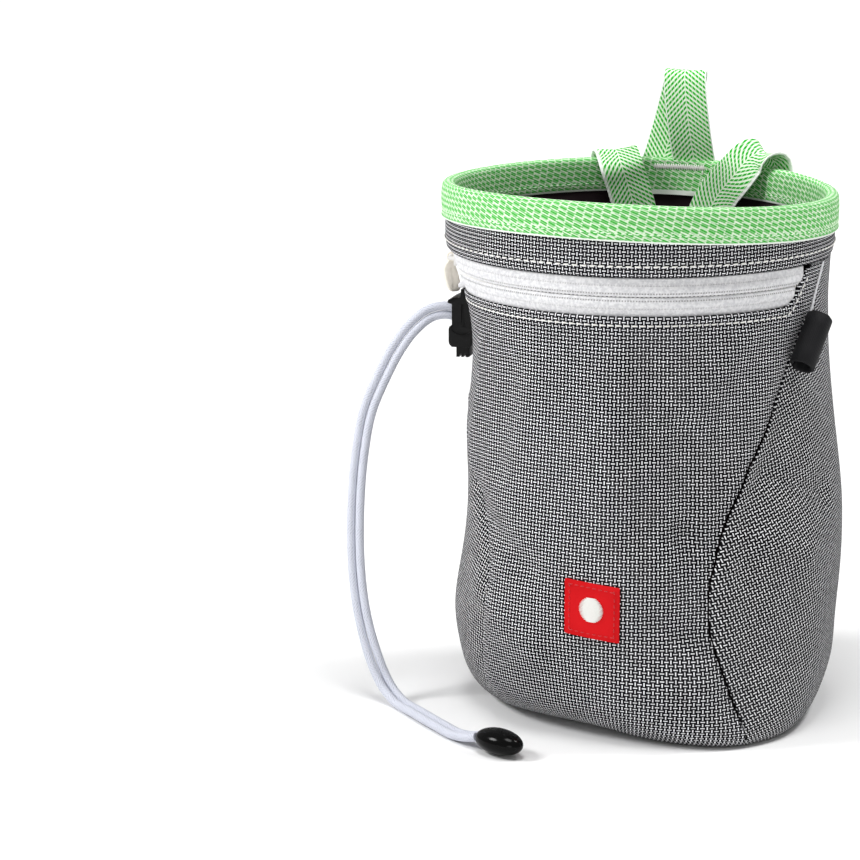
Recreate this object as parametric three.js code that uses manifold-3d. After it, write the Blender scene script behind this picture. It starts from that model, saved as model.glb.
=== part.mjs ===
// A climbing chalk bag: a soft round bag with a stiff webbing rim, a zipped front pocket, a cord
// with a spring lock, a waist belt tucked in over the back of the rim, and a hang loop.
// Millimetres, +Z up. The origin is on the floor under the centre of the rim and the front faces -Y.
// Directions round the bag are polar angles in degrees: 0 is the front, +90 is the wearer's right (+X).

import * as THREE from 'three';
import { mergeVertices } from 'three/addons/utils/BufferGeometryUtils.js';
import Module from 'manifold-3d';

const wasm = await Module();
wasm.setup();

// Driving dimensions

const RIM_RADIUS = 66.5;          // outside of the rim binding
const RIM_HEIGHT = 175.6;         // mean height of the rim's top fold
const RIM_TILT = 1.5;
const RIM_SADDLE = 1;
const RIM_CREST = -50;            // where the rim is highest, in degrees
const BINDING_LEG = 12;           // how far each leg of the folded binding reaches down
const BINDING_FOLD = 1.8;         // height of the fold's rounding
const RIM_STEP = 2.5;             // how much narrower the bag is at the foot of the top band
const BAND_TALL = 22.1;           // from the band's lower edge to the rim's fold
const BAND_FLARE = 4.5;           // height over which the band widens towards the rim
const LINING_SLACK = 2;           // the lining hangs narrower towards its foot
const UPPER_TAPE = 6.3;           // zip tape between the band and the slit
const LOWER_TAPE = 6.2;           // zip tape between the slit and the pocket's folded edge
const WALL = 1;                   // one layer of fabric
const CLEAR = 0.3;                // gap between pieces that touch
const BASE_WALL = 1.2;            // the stiffer floor

const WEBBING_WIDE = 15;          // belt and hang loop
const WEBBING_THICK = 1.2;
const HANG_LOOP_RISE = 30;        // hang loop above the rim
const HANG_LOOP_OPEN = 6.4;       // widest gap inside the hang loop
const BELT_TAIL = 75;             // how far the belt's ends hang down inside the bag
const KEEPER_WIDE = 20;
const KEEPER_REACH = 6;           // keeper above and below the belt it holds
const KEEPER_DROP = 34;           // belt's middle under the rim at the back

const BRUSH_LOOP_LONG = 19;       // the tube that holds a brush
const BRUSH_LOOP_SEWN = 15.2;      // rise of the seam between the ends that it is sewn at
const BRUSH_LOOP_SUNK = 0.45;      // how far its slit edges settle into the seam's groove
const BRUSH_LOOP_REACH = 9;
const BRUSH_LOOP_WIDE = 9;
const BRUSH_WEBBING = 1.3;

const LOCK_TALL = 17;             // housing of the cord lock
const LOCK_DEEP = 8;              // away from the bag
const LOCK_WIDE = 12;             // round the bag
const LOCK_WALL = 1;
const LOCK_LUG_RISE = 3;
const LOCK_DROP = 29.8;           // from the zip's slit down to the housing's lower edge
const LOCK_CAVITY = 15.4;         // how high the hollow in the housing goes
const BUTTON_STROKE = 3;
const TOOTH_DEEP = 1.1;           // grip teeth under the button
const TOOTH_GAP_WIDE = 0.17;
const TOOTH_GAPS = [0.33, 0.68];
const STRAP_RISE = 2.8;
const STRAP_WIDE = 9;

const CORD_DIAMETER = 3;
const CORD_SPACING = 3.3;         // between the middles of the two strands
const BEAD_LONG = 18;
const BEAD_WIDE = 11;
const BEAD_TALL = 8.4;

const CORD_SIDES = 8;
const CORD_STEPS = 30;

const SLIDER_LONG = 9;
const SLIDER_TALL = 5;
const SLIDER_PLATE = 0.8;
const BRIDGE_LONG = 7;
const BRIDGE_BAR = 1;
const RING_HOLE = 1;              // radius of the hole in the pull's ring
const RING_BAR = 0.8;
const RING_STEPS = 12;
const PULL_LONG = 11;
const PULL_WIDE = 6.4;
const PULL_THICK = 2.6;
const PULL_TWIST = 35;            // the tab hangs turned a little, in degrees

const LABEL_SIDE = 18.2;
const LABEL_THICK = 0.6;

// Body form: each row is a level, as a share of BAND_FOOT, and then the reach at eight directions,
// as shares of BODY_RADIUS: front, front right, right, back right, back, back left, left, front left.

const DIRECTIONS = 8;
const SECTIONS = [
  [0.002, 0.735, 1.165, 0.915, 0.84, 0.80, 0.79, 0.80, 0.745],
  [0.013, 0.83, 1.203, 0.97, 0.895, 0.86, 0.85, 0.835, 0.815],
  [0.033, 0.92, 1.215, 1.015, 0.94, 0.90, 0.89, 0.87, 0.875],
  [0.065, 1.00, 1.203, 1.055, 0.97, 0.92, 0.92, 0.90, 0.925],
  [0.111, 1.045, 1.18, 1.09, 1.00, 0.935, 0.945, 0.92, 0.955],
  [0.202, 1.08, 1.148, 1.10, 1.02, 0.945, 0.955, 0.945, 0.99],
  [0.339, 1.085, 1.102, 1.117, 1.03, 0.945, 0.94, 0.87, 0.975],
  [0.476, 1.063, 1.063, 1.10, 1.03, 0.945, 0.94, 0.845, 0.955],
  [0.625, 1.032, 1.04, 1.047, 0.992, 0.945, 0.945, 0.90, 0.945],
  [0.749, 1.01, 1.023, 1.008, 0.984, 0.953, 0.945, 0.84, 0.925],
  [0.879, 1.01, 1.013, 0.992, 0.981, 0.969, 0.953, 0.852, 0.94],
  [0.958, 1.007, 1.007, 0.992, 0.992, 0.984, 0.977, 0.95, 0.98],
  [1.0, 1.00, 1.00, 1.00, 1.00, 1.00, 1.00, 0.995, 0.995],
];

// Folds and swells: where, how wide and tall, and how far out (in is negative).
// angle and wide in degrees, level and tall as shares of BAND_FOOT, out as a share of BODY_RADIUS.

const FOLDS = [
  { name: 'gusset swell', angle: 60, wide: 13, level: 0.42, tall: 0.20, out: 0.026 },
  { name: 'gusset hollow', angle: 92, wide: 10, level: 0.64, tall: 0.10, out: -0.014 },
  { name: 'pocket hollow', angle: 38, wide: 12, level: 0.66, tall: 0.16, out: -0.016 },
  { name: 'left pinch', angle: -47, wide: 7, level: 0.33, tall: 0.13, out: 0.012 },
  { name: 'back crease left', angle: -150, wide: 8, level: 0.45, tall: 0.22, out: -0.022 },
  { name: 'back crease right', angle: 152, wide: 9, level: 0.55, tall: 0.20, out: -0.020 },
  { name: 'back swell', angle: 178, wide: 14, level: 0.30, tall: 0.20, out: 0.018 },
  { name: 'toe crease', angle: -12, wide: 9, level: 0.10, tall: 0.05, out: -0.012 },
];

// Seams of the front panel, from base to top: angle against level.

const SEAM_RIGHT = [
  { level: 0, angle: 46 }, { level: 0.094, angle: 43.1 }, { level: 0.17, angle: 39.5 },
  { level: 0.30, angle: 36.5 }, { level: 0.40, angle: 38.9 }, { level: 0.467, angle: 41.6 },
  { level: 0.538, angle: 46 }, { level: 0.618, angle: 52.8 }, { level: 0.685, angle: 60.6 },
  { level: 0.79, angle: 66.6 }, { level: 0.89, angle: 78.3 }, { level: 0.95, angle: 84.5 },
  { level: 1, angle: 87 },
];
const SEAM_LEFT = [
  { level: 0, angle: -41 }, { level: 0.094, angle: -38.5 }, { level: 0.16, angle: -36.6 },
  { level: 0.23, angle: -32.5 }, { level: 0.35, angle: -31.5 }, { level: 0.41, angle: -34.5 },
  { level: 0.49, angle: -45 }, { level: 0.59, angle: -56 }, { level: 0.685, angle: -66 },
  { level: 0.79, angle: -80 }, { level: 0.87, angle: -96 }, { level: 0.93, angle: -106 },
  { level: 1, angle: -109 },
];
const SEAM_BACK = 118;            // straight seams between the gussets and the back
const SEAM_GROOVE = 1.6;          // how deep a seam draws the fabric in
const SEAM_GROOVE_WIDE = 3.6;
const SEAM_GROOVE_LEVELS = [0.02, 0.08, 0.84, 0.95];   // where the groove starts, is full, ebbs and ends

// The pocket's top edge runs level and turns up round both ends of the zip.

const ZIP_END_RIGHT = 78;
const ZIP_END_LEFT = -105;
const ZIP_TURN = 13;              // degrees over which the edge turns up
const SLIDER_ANGLE = -86;
const LOCK_ANGLE = -84;
const LABEL_ANGLE = 5.8;
const LABEL_LEVEL = 45.6;
const LABEL_SKEW = -6.5;          // its right side sits lower, in degrees
const HANG_LOOP_ANGLE = -177;
const KEEPER_ANGLE = 180;
const BRUSH_SLIT = 14;            // the tube is open along the seam, half angle in degrees
const BRUSH_LOOP_STEPS = 12;
const BELT_STEPS = 3;
const BRUSH_LOOP_DROP = 18.4;     // from the zip's slit down to the middle of the brush loop

// The belt's run, from its left tail over the rim, across the back and down to its right tail.
// side: -1 against the lining, 0 over the rim, +1 outside. drop: share of BELT_TAIL inside the bag
// and of KEEPER_DROP outside it, down from the rim. lift: above the rim, in webbing thicknesses.
// lean: the turn of the webbing in degrees.

const BELT_RUN = [
  { angle: -167, side: -1, drop: 1.0, lift: 0, lean: -3 },
  { angle: -165.5, side: -1, drop: 0.66, lift: 0, lean: -6 },
  { angle: -162.3, side: -1, drop: 0.3, lift: 0, lean: -12 },
  { angle: -158.6, side: -1, drop: 0.12, lift: 0, lean: -15 },
  { angle: -156.4, side: -1, drop: 0.035, lift: 0, lean: -12 },
  { angle: -155.6, side: -0.72, drop: 0, lift: 0.75, lean: -9 },
  { angle: -155, side: 0, drop: 0, lift: 1.7, lean: -5 },
  { angle: -154.5, side: 0.72, drop: 0, lift: 0.75, lean: -3 },
  { angle: -154.5, side: 1, drop: 0.08, lift: 0, lean: -4 },
  { angle: -155.4, side: 1, drop: 0.34, lift: 0, lean: -22 },
  { angle: -160, side: 1, drop: 0.68, lift: 0, lean: -52 },
  { angle: -169, side: 1, drop: 0.94, lift: 0, lean: -78 },
  { angle: -180, side: 1, drop: 1.0, lift: 0, lean: -90 },
  { angle: -191, side: 1, drop: 0.94, lift: 0, lean: -102 },
  { angle: -201, side: 1, drop: 0.68, lift: 0, lean: -128 },
  { angle: -206.5, side: 1, drop: 0.34, lift: 0, lean: -156 },
  { angle: -207.5, side: 1, drop: 0.06, lift: 0, lean: -170 },
  { angle: -206.5, side: 0.8, drop: 0, lift: 2.2, lean: -172 },
  { angle: -204.6, side: 0, drop: 0, lift: 3.6, lean: -168 },
  { angle: -201.6, side: -0.85, drop: 0, lift: 2.2, lean: -158 },
  { angle: -198.4, side: -1, drop: 0.04, lift: 0, lean: -150 },
  { angle: -191, side: -1, drop: 0.16, lift: 0, lean: -148 },
  { angle: -186, side: -1, drop: 0.32, lift: 0, lean: -162 },
  { angle: -184, side: -1, drop: 0.62, lift: 0, lean: -177 },
  { angle: -184, side: -1, drop: 1.0, lift: 0, lean: -180 },
];

// The keeper's side view: up in half belt widths, and past them in KEEPER_REACH;
// over is 1 where it passes over the belt.

const KEEPER_PROFILE = [
  { up: -2, over: 0 }, { up: -1.75, over: 0 }, { up: -1.45, over: 0.3 }, { up: -1.12, over: 1 },
  { up: -0.5, over: 1 }, { up: 0.5, over: 1 }, { up: 1.12, over: 1 }, { up: 1.45, over: 0.35 },
  { up: 1.75, over: 0.08 }, { up: 2, over: 0 },
];

// The hang loop's side view: out as a share of half its opening, up as a share of its rise,
// shift along the rim in webbing widths.

const HANG_LOOP_PROFILE = [
  { out: -0.42, up: 0, shift: -0.25 }, { out: -0.72, up: 0.18, shift: -0.205 },
  { out: -1, up: 0.5, shift: -0.125 }, { out: -0.86, up: 0.82, shift: -0.045 },
  { out: -0.5, up: 0.96, shift: -0.01 }, { out: 0, up: 1, shift: 0 },
  { out: 0.5, up: 0.96, shift: 0.02 }, { out: 0.86, up: 0.82, shift: 0.09 },
  { out: 1, up: 0.5, shift: 0.25 },
  { out: 0.72, up: 0.18, shift: 0.41 }, { out: 0.42, up: 0, shift: 0.5 },
];

// The pull's tab: down as a share of its length, wide and thick as shares of its size,
// out in pull thicknesses.

const PULL_PROFILE = [
  { down: 0, wide: 0.3, thick: 0.4, out: 0.1 }, { down: 0.1, wide: 0.5, thick: 0.7, out: 0.3 },
  { down: 0.22, wide: 0.86, thick: 0.95, out: 0.4 }, { down: 0.45, wide: 1, thick: 1, out: 0.15 },
  { down: 0.8, wide: 0.92, thick: 0.95, out: -0.25 }, { down: 0.95, wide: 0.7, thick: 0.75, out: -0.42 },
  { down: 1, wide: 0.45, thick: 0.45, out: -0.46 },
];

// The cord lock's side view, as shares of its depth and height: its front from foot to top, with
// the recess that the cord comes out of, and its back from top to foot.

const LOCK_EXIT_DEEP = 0.86;
const LOCK_LUG_DEEP = 0.46;
const LOCK_LUG_BACK = 0.06;
const LOCK_FRONT = [
  [0.05, 0], [LOCK_EXIT_DEEP, 0], [0.98, 0.06], [1, 0.12], [1, 0.36], [0.97, 0.41],
  [LOCK_EXIT_DEEP, 0.45], [LOCK_EXIT_DEEP, 0.87], [1.05, 0.89], [1.03, 0.95], [0.8, 1], [0.48, 1.01],
];
const LOCK_BACK = [[0, 1], [0, 0.04]];

// The free cord's middle line, from the lock's face through the air to the floor and its bead.

const CORD_ROUTE = [
  [-63.5, -6.6, 128.6], [-67.2, -7.6, 129], [-72, -9.4, 127.6], [-77.3, -13.2, 122.4],
  [-81.4, -15.8, 115.8], [-84.4, -18.5, 108.9], [-88.9, -23, 95.5], [-90.4, -26.5, 82.1],
  [-90.4, -30.7, 65.5], [-88.6, -35.4, 45.6], [-85, -39.6, 29.6], [-79.6, -42.8, 15.2], [-74.2, -45.4, 6.2],
  [-67.6, -49.8, 1.9], [-57, -59.8, 1.8], [-45.2, -70.6, 1.8], [-36, -78.2, 1.8],
  [-28.6, -82.9, 3.2], [-26, -84.1, 4.1],
];

// Measures worked out from those sizes

const BODY_RADIUS = RIM_RADIUS - RIM_STEP;   // outside of the fabric at the foot of the top band
const BAND_FOOT = RIM_HEIGHT - BAND_TALL;
const ZIP_SLIT = BAND_FOOT - UPPER_TAPE;     // where the two zip tapes meet
const POCKET_EDGE = ZIP_SLIT - LOWER_TAPE;   // folded top edge of the front pocket
const LOCK_FOOT = ZIP_SLIT - LOCK_DROP;
const BRUSH_LOOP_LEVEL = ZIP_SLIT - BRUSH_LOOP_DROP;
const RIM_THICK = 4 * WALL + 3 * CLEAR;   // both legs of the binding, the band and the lining
const RIM_MIDDLE = RIM_RADIUS - RIM_THICK / 2;
const BAND_RADIUS = RIM_RADIUS - WALL - CLEAR;
const LINING_RADIUS = BAND_RADIUS - WALL - CLEAR;
const BINDING_INSIDE = RIM_RADIUS - RIM_THICK;
const LINING_INSET = WALL + SEAM_GROOVE + 3 * CLEAR;   // the lining clears the drawn-in seams
const radians = THREE.MathUtils.degToRad;
const toDegrees = THREE.MathUtils.radToDeg;
const mix = THREE.MathUtils.lerp;
const UP = new THREE.Vector3(0, 0, 1);

const polar = (angle, radius, height) => new THREE.Vector3(
  radius * Math.sin(radians(angle)), -radius * Math.cos(radians(angle)), height);
const outward = (angle) => polar(angle, 1, 0);
const sideways = (angle) => new THREE.Vector3(Math.cos(radians(angle)), Math.sin(radians(angle)), 0);

const cubic = (a, b, c, d, t) => b + 0.5 * t * (c - a + t * (2 * a - 5 * b + 4 * c - d
  + t * (3 * (b - c) + d - a)));
// Rises smoothly from 0 to 1 while a value goes from one bound to the other.
function smooth(from, to, value) {
  const t = THREE.MathUtils.clamp((value - from) / (to - from), 0, 1);
  return t * t * (3 - 2 * t);
}
const bell = (distance, width) => Math.exp(-((distance / width) ** 2));

// A smooth value from a table's rows, by one of its columns.
function tableValue(rows, key, along, column) {
  const last = rows.length - 1;
  let row = 0;
  while (row < last - 1 && along > rows[row + 1][key]) row += 1;
  const before = rows[Math.max(row - 1, 0)][column];
  const after = rows[Math.min(row + 2, last)][column];
  const span = rows[row + 1][key] - rows[row][key];
  const t = THREE.MathUtils.clamp((along - rows[row][key]) / span, 0, 1);
  return cubic(before, rows[row][column], rows[row + 1][column], after, t);
}

const wrapAngle = (angle) => ((angle + 180) % 360 + 360) % 360 - 180;
const seamRight = (height) => tableValue(SEAM_RIGHT, 'level', height / BAND_FOOT, 'angle');
const seamLeft = (height) => tableValue(SEAM_LEFT, 'level', height / BAND_FOOT, 'angle');

// The rim isn't level: it is highest at the front left and dips at both sides.
const rimWave = (angle) => RIM_TILT * Math.cos(radians(angle - RIM_CREST))
  + RIM_SADDLE * Math.cos(radians(2 * angle));
const rimTop = (angle) => RIM_HEIGHT + rimWave(angle);

// How far the fabric is drawn in where a seam runs.
function grooveDepth(angle, height) {
  const level = height / BAND_FOOT;
  const [start, full, ebb, end] = SEAM_GROOVE_LEVELS;
  const fade = smooth(start, full, level) * (1 - smooth(ebb, end, level));
  const seams = [seamRight(height), seamLeft(height)];
  const near = seams.map((seam) => bell(radians(wrapAngle(angle - seam)) * BODY_RADIUS, SEAM_GROOVE_WIDE));
  return SEAM_GROOVE * fade * (near[0] + near[1]);
}

// Radius of the outside of the bag at an angle and height, without the seams' grooves.
function formRadius(angle, height) {
  const level = height / BAND_FOOT;
  if (level >= 1) {
    const above = smooth(BAND_FOOT, BAND_FOOT + BAND_FLARE, height);
    return mix(BODY_RADIUS, BAND_RADIUS, above);
  }
  const turn = ((angle % 360) + 360) % 360 * DIRECTIONS / 360;
  const column = Math.floor(turn);
  const share = [-1, 0, 1, 2].map((step) => (
    tableValue(SECTIONS, 0, level, 1 + (column + step + DIRECTIONS) % DIRECTIONS)));
  let radius = BODY_RADIUS * cubic(share[0], share[1], share[2], share[3], turn - Math.floor(turn));
  for (const fold of FOLDS) {
    radius += BODY_RADIUS * fold.out * bell(wrapAngle(angle - fold.angle), fold.wide)
      * bell(level - fold.level, fold.tall);
  }
  return radius;
}
const bodyRadius = (angle, height) => formRadius(angle, height) - grooveDepth(angle, height);

// A point of the outside, or a layer an inset under it, measured square to the fabric.
function bodyPoint(angle, height, inset = 0, radiusAt = bodyRadius) {
  const step = 0.4;
  const at = (a, h) => polar(a, radiusAt(a, h), h);
  const round = at(angle + step, height).sub(at(angle - step, height));
  const low = Math.max(height - step, 0);
  const rise = at(angle, height + step).sub(at(angle, low));
  const normal = round.cross(rise).normalize();
  return at(angle, height).addScaledVector(normal, -inset);
}

// How far out a flat-backed piece sits that just clears the bag over its width and height.
function flatSeat(angle, width, low, high) {
  const half = toDegrees(width / 2 / BODY_RADIUS);
  const reach = [-1, -0.5, 0, 0.5, 1].flatMap((side) => [0, 0.25, 0.5, 0.75, 1].map((share) => (
    bodyRadius(angle + side * half, mix(low, high, share)) * Math.cos(radians(side * half)))));
  return Math.max(...reach) + CLEAR;
}

// Building closed solids

// A closed solid from points and faces, with its faces turned outwards.
function closedSolid(points, faces) {
  let volume = 0;
  for (const [a, b, c] of faces) volume += points[a].dot(points[b].clone().cross(points[c]));
  const turned = volume < 0 ? faces.map(([a, b, c]) => [a, c, b]) : faces;
  const loose = new THREE.BufferGeometry();
  const positions = points.flatMap((point) => [point.x, point.y, point.z]);
  loose.setAttribute('position', new THREE.Float32BufferAttribute(positions, 3));
  loose.setIndex(turned.flat());
  const geometry = mergeVertices(loose, 1e-4);
  geometry.computeVertexNormals();
  return geometry;
}

// Points and faces are gathered here while a solid is built up.
function solidMaker() {
  const points = [];
  const faces = [];
  const add = (point) => points.push(point) - 1;
  const quad = (a, b, c, d) => faces.push([a, b, c], [a, c, d]);
  return { points, faces, add, quad, finish: () => closedSolid(points, faces) };
}

// A sheet with a thickness, from a grid of outer points and one of inner points.
// A ring's last column joins its first.
function sheetSolid(outer, inner, ring = false) {
  const maker = solidMaker();
  const rows = outer.length;
  const columns = outer[0].length;
  const indexOuter = outer.map((row) => row.map(maker.add));
  const indexInner = inner.map((row) => row.map(maker.add));
  const steps = ring ? columns : columns - 1;
  for (let i = 0; i < steps; i += 1) {
    const n = (i + 1) % columns;
    for (let j = 0; j + 1 < rows; j += 1) {
      maker.quad(indexOuter[j][i], indexOuter[j][n], indexOuter[j + 1][n], indexOuter[j + 1][i]);
      maker.quad(indexInner[j][i], indexInner[j + 1][i], indexInner[j + 1][n], indexInner[j][n]);
    }
    const top = rows - 1;
    maker.quad(indexOuter[0][i], indexInner[0][i], indexInner[0][n], indexOuter[0][n]);
    maker.quad(indexOuter[top][i], indexOuter[top][n], indexInner[top][n], indexInner[top][i]);
  }
  if (!ring) {
    const end = columns - 1;
    for (let j = 0; j + 1 < rows; j += 1) {
      maker.quad(indexOuter[j][0], indexOuter[j + 1][0], indexInner[j + 1][0], indexInner[j][0]);
      maker.quad(indexOuter[j][end], indexInner[j][end], indexInner[j + 1][end], indexOuter[j + 1][end]);
    }
  }
  return maker.finish();
}

// A closed outline carried along stations: round a ring, or with its two ends capped.
function sweptSolid(stations, ring = false) {
  const maker = solidMaker();
  const index = stations.map((outline) => outline.map(maker.add));
  const count = stations.length;
  const sides = stations[0].length;
  for (let k = 0; k < (ring ? count : count - 1); k += 1) {
    const here = index[k];
    const next = index[(k + 1) % count];
    for (let i = 0; i < sides; i += 1) {
      const n = (i + 1) % sides;
      maker.quad(here[i], here[n], next[n], next[i]);
    }
  }
  if (!ring) {
    const ends = [index[0].slice().reverse(), index[count - 1]];
    for (const end of ends) {
      for (let i = 1; i + 1 < sides; i += 1) maker.faces.push([end[0], end[i], end[i + 1]]);
    }
  }
  return maker.finish();
}

// A strip of webbing: each station has its middle, the way across it and the way its face looks.
function webbingStrip(stations, wide, thick) {
  return sweptSolid(stations.map(({ middle, across, face }) => (
    [[-1, -1], [1, -1], [1, 1], [-1, 1]].map(([side, layer]) => middle.clone()
      .addScaledVector(across, side * wide / 2).addScaledVector(face, layer * thick / 2)))));
}

// A block from a closed outline of [out, up] points, spread over a width. origin is where
// out and up are zero, and angle is where round the bag the block stands.
function blockAt(angle, origin, outline, width) {
  const out = outward(angle);
  const across = sideways(angle);
  const stations = [-width / 2, width / 2].map((shift) => outline.map(([reach, up]) => (
    origin.clone().addScaledVector(out, reach).addScaledVector(across, shift).add(
      new THREE.Vector3(0, 0, up)))));
  return outlinePrism(stations[0], stations[1], outline);
}

// Joins two copies of an outline that needn't be convex, with both ends filled.
function outlinePrism(near, far, outline) {
  const flat = outline.map(([x, y]) => new THREE.Vector2(x, y));
  const order = outline.map((_, i) => i);
  if (THREE.ShapeUtils.isClockWise(flat)) order.reverse();
  const maker = solidMaker();
  const a = order.map((i) => maker.add(near[i]));
  const b = order.map((i) => maker.add(far[i]));
  for (const [i, j, k] of THREE.ShapeUtils.triangulateShape(order.map((n) => flat[n]), [])) {
    maker.faces.push([a[i], a[k], a[j]], [b[i], b[j], b[k]]);
  }
  for (let i = 0; i < order.length; i += 1) {
    const n = (i + 1) % order.length;
    maker.quad(a[i], a[n], b[n], b[i]);
  }
  return maker.finish();
}

// A closed geometry with its shared points merged, whatever made it.
function cleaned(geometry) {
  geometry.deleteAttribute('normal');
  geometry.deleteAttribute('uv');
  const merged = mergeVertices(geometry, 1e-4);
  merged.computeVertexNormals();
  return merged;
}

function toManifold(geometry) {
  const triVerts = Uint32Array.from(geometry.index.array);
  const vertProperties = Float32Array.from(geometry.attributes.position.array);
  return new wasm.Manifold(new wasm.Mesh({ numProp: 3, vertProperties, triVerts }));
}
function fromManifold(solid) {
  const mesh = solid.getMesh();
  const geometry = new THREE.BufferGeometry();
  geometry.setAttribute('position', new THREE.BufferAttribute(mesh.vertProperties, 3));
  geometry.setIndex(new THREE.BufferAttribute(mesh.triVerts, 1));
  geometry.computeVertexNormals();
  return geometry;
}
const joined = (pieces) => fromManifold(pieces.map(toManifold).reduce((all, piece) => all.add(piece)));
const cutFrom = (piece, tool) => fromManifold(toManifold(piece).subtract(toManifold(tool)));

const model = new THREE.Group();
function addPiece(name, geometry, color, roughness = 0.9, metalness = 0) {
  const material = new THREE.MeshStandardMaterial({ color, roughness, metalness });
  const mesh = new THREE.Mesh(geometry, material);
  mesh.name = name;
  model.add(mesh);
  return mesh;
}

const FABRIC = 0x8b8d92;
const GREEN = 0x5fce5b;
const WHITE = 0xe8e8ea;
const BLACK = 0x151517;

// Body panels

// The top edge of the front pocket, under the zip.
function pocketEdge(angle) {
  const right = smooth(ZIP_END_RIGHT - ZIP_TURN, ZIP_END_RIGHT, angle);
  const left = smooth(ZIP_END_LEFT + ZIP_TURN, ZIP_END_LEFT, angle);
  return mix(POCKET_EDGE, BAND_FOOT - CLEAR, Math.max(right, left));
}

// The columns of the front panel and of the zip over it, by their angle at the top: even steps,
// and closer ones where the edge turns up.
function evenSteps(from, to, count) {
  return Array.from({ length: count }, (_, i) => mix(from, to, i / count));
}
const pocketAngles = [
  ...evenSteps(seamLeft(BAND_FOOT), ZIP_END_LEFT, 1),
  ...evenSteps(ZIP_END_LEFT, ZIP_END_LEFT + ZIP_TURN, 6),
  ...evenSteps(ZIP_END_LEFT + ZIP_TURN, ZIP_END_RIGHT - ZIP_TURN, 15),
  ...evenSteps(ZIP_END_RIGHT - ZIP_TURN, ZIP_END_RIGHT, 6),
  ...evenSteps(ZIP_END_RIGHT, seamRight(BAND_FOOT), 2),
  seamRight(BAND_FOOT),
];
const pocketShares = pocketAngles.map((angle) => (
  (angle - seamLeft(BAND_FOOT)) / (seamRight(BAND_FOOT) - seamLeft(BAND_FOOT))));
const evenShares = (columns) => [...evenSteps(0, 1, columns), 1];

const PANEL_FOOT = SECTIONS[0][0] * BAND_FOOT;
const PANEL_ROWS = 16;            // the same on every panel, so that seams match
const ROW_CROWDING = 1.6;         // rows lie closer together near the rounded foot

// A panel of the body between two seams given as functions of height. shares places its columns
// between the seams, and topEdge gives the height of its top by the column's angle there.
function bodyPanel(startSeam, endSeam, shares, topEdge) {
  const gap = toDegrees(CLEAR / 2 / BODY_RADIUS);
  const between = (level, share) => (
    mix(startSeam(level) + gap, endSeam(level) - gap, share));
  const grid = (inset) => Array.from({ length: PANEL_ROWS + 1 }, (_, j) => {
    const rise = (j / PANEL_ROWS) ** ROW_CROWDING;
    const level = mix(PANEL_FOOT, BAND_FOOT - CLEAR, rise);
    return shares.map((share) => {
      const top = topEdge(between(BAND_FOOT - CLEAR, share));
      const point = bodyPoint(between(level, share), mix(PANEL_FOOT, top, rise), inset);
      return j === PANEL_ROWS ? point.setZ(top) : point;
    });
  });
  return sheetSolid(grid(0), grid(WALL));
}

const levelTop = () => BAND_FOOT - CLEAR;
const seamBackRight = () => SEAM_BACK;
const seamBackLeft = () => -SEAM_BACK;
const seamBackRound = () => 360 - SEAM_BACK;
addPiece('front_panel', bodyPanel(seamLeft, seamRight, pocketShares, pocketEdge), FABRIC);
addPiece('gusset_right', bodyPanel(seamRight, seamBackRight, evenShares(8), levelTop), FABRIC);
addPiece('gusset_left', bodyPanel(seamBackLeft, seamLeft, evenShares(8), levelTop), FABRIC);
addPiece('back_panel', bodyPanel(seamBackRight, seamBackRound, evenShares(14), levelTop), FABRIC);

// Floor

const FLOOR_SIDES = 48;
function basePanel() {
  const edge = Array.from({ length: FLOOR_SIDES }, (_, i) => {
    const angle = i * 360 / FLOOR_SIDES;
    const inner = bodyPoint(angle, PANEL_FOOT, WALL);
    const reach = Math.min(bodyRadius(angle, PANEL_FOOT), Math.hypot(inner.x, inner.y)) - 2 * CLEAR;
    return [angle, reach];
  });
  return sweptSolid([0, BASE_WALL].map((height) => (
    edge.map(([angle, reach]) => polar(angle, reach, height)))));
}
addPiece('base_panel', basePanel(), FABRIC);

// Top band and rim

const RING_SIDES = 60;
const ringAngles = Array.from({ length: RING_SIDES }, (_, i) => i * 360 / RING_SIDES);

function topBand() {
  const levels = [() => BAND_FOOT, () => BAND_FOOT + BAND_FLARE / 2, () => BAND_FOOT + BAND_FLARE,
    (angle) => rimTop(angle) - WALL - 2 * CLEAR];
  const grid = (inset) => levels.map((level) => ringAngles.map((angle) => (
    polar(angle, bodyRadius(angle, level(angle)) - inset, level(angle)))));
  return sheetSolid(grid(0), grid(WALL), true);
}
addPiece('top_band', topBand(), FABRIC);

// The binding is one strip folded over the edges of the band and the lining.
function rimBinding() {
  const fold = BINDING_FOLD;
  const outside = RIM_RADIUS;
  const inside = BINDING_INSIDE;
  const section = [
    [outside, -BINDING_LEG], [outside, -fold], [outside - fold / 3, -fold / 3], [RIM_MIDDLE, 0],
    [inside + fold / 3, -fold / 3], [inside, -fold], [inside, -BINDING_LEG],
    [inside + WALL, -BINDING_LEG], [inside + WALL, -WALL - CLEAR], [outside - WALL, -WALL - CLEAR],
    [outside - WALL, -BINDING_LEG],
  ];
  return sweptSolid(ringAngles.map((angle) => section.map(([radius, down]) => (
    polar(angle, radius, rimTop(angle) + down)))), true);
}
addPiece('rim_binding', rimBinding(), GREEN);

// Lining: a sack that starts in the binding's fold and stands on the floor

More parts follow.
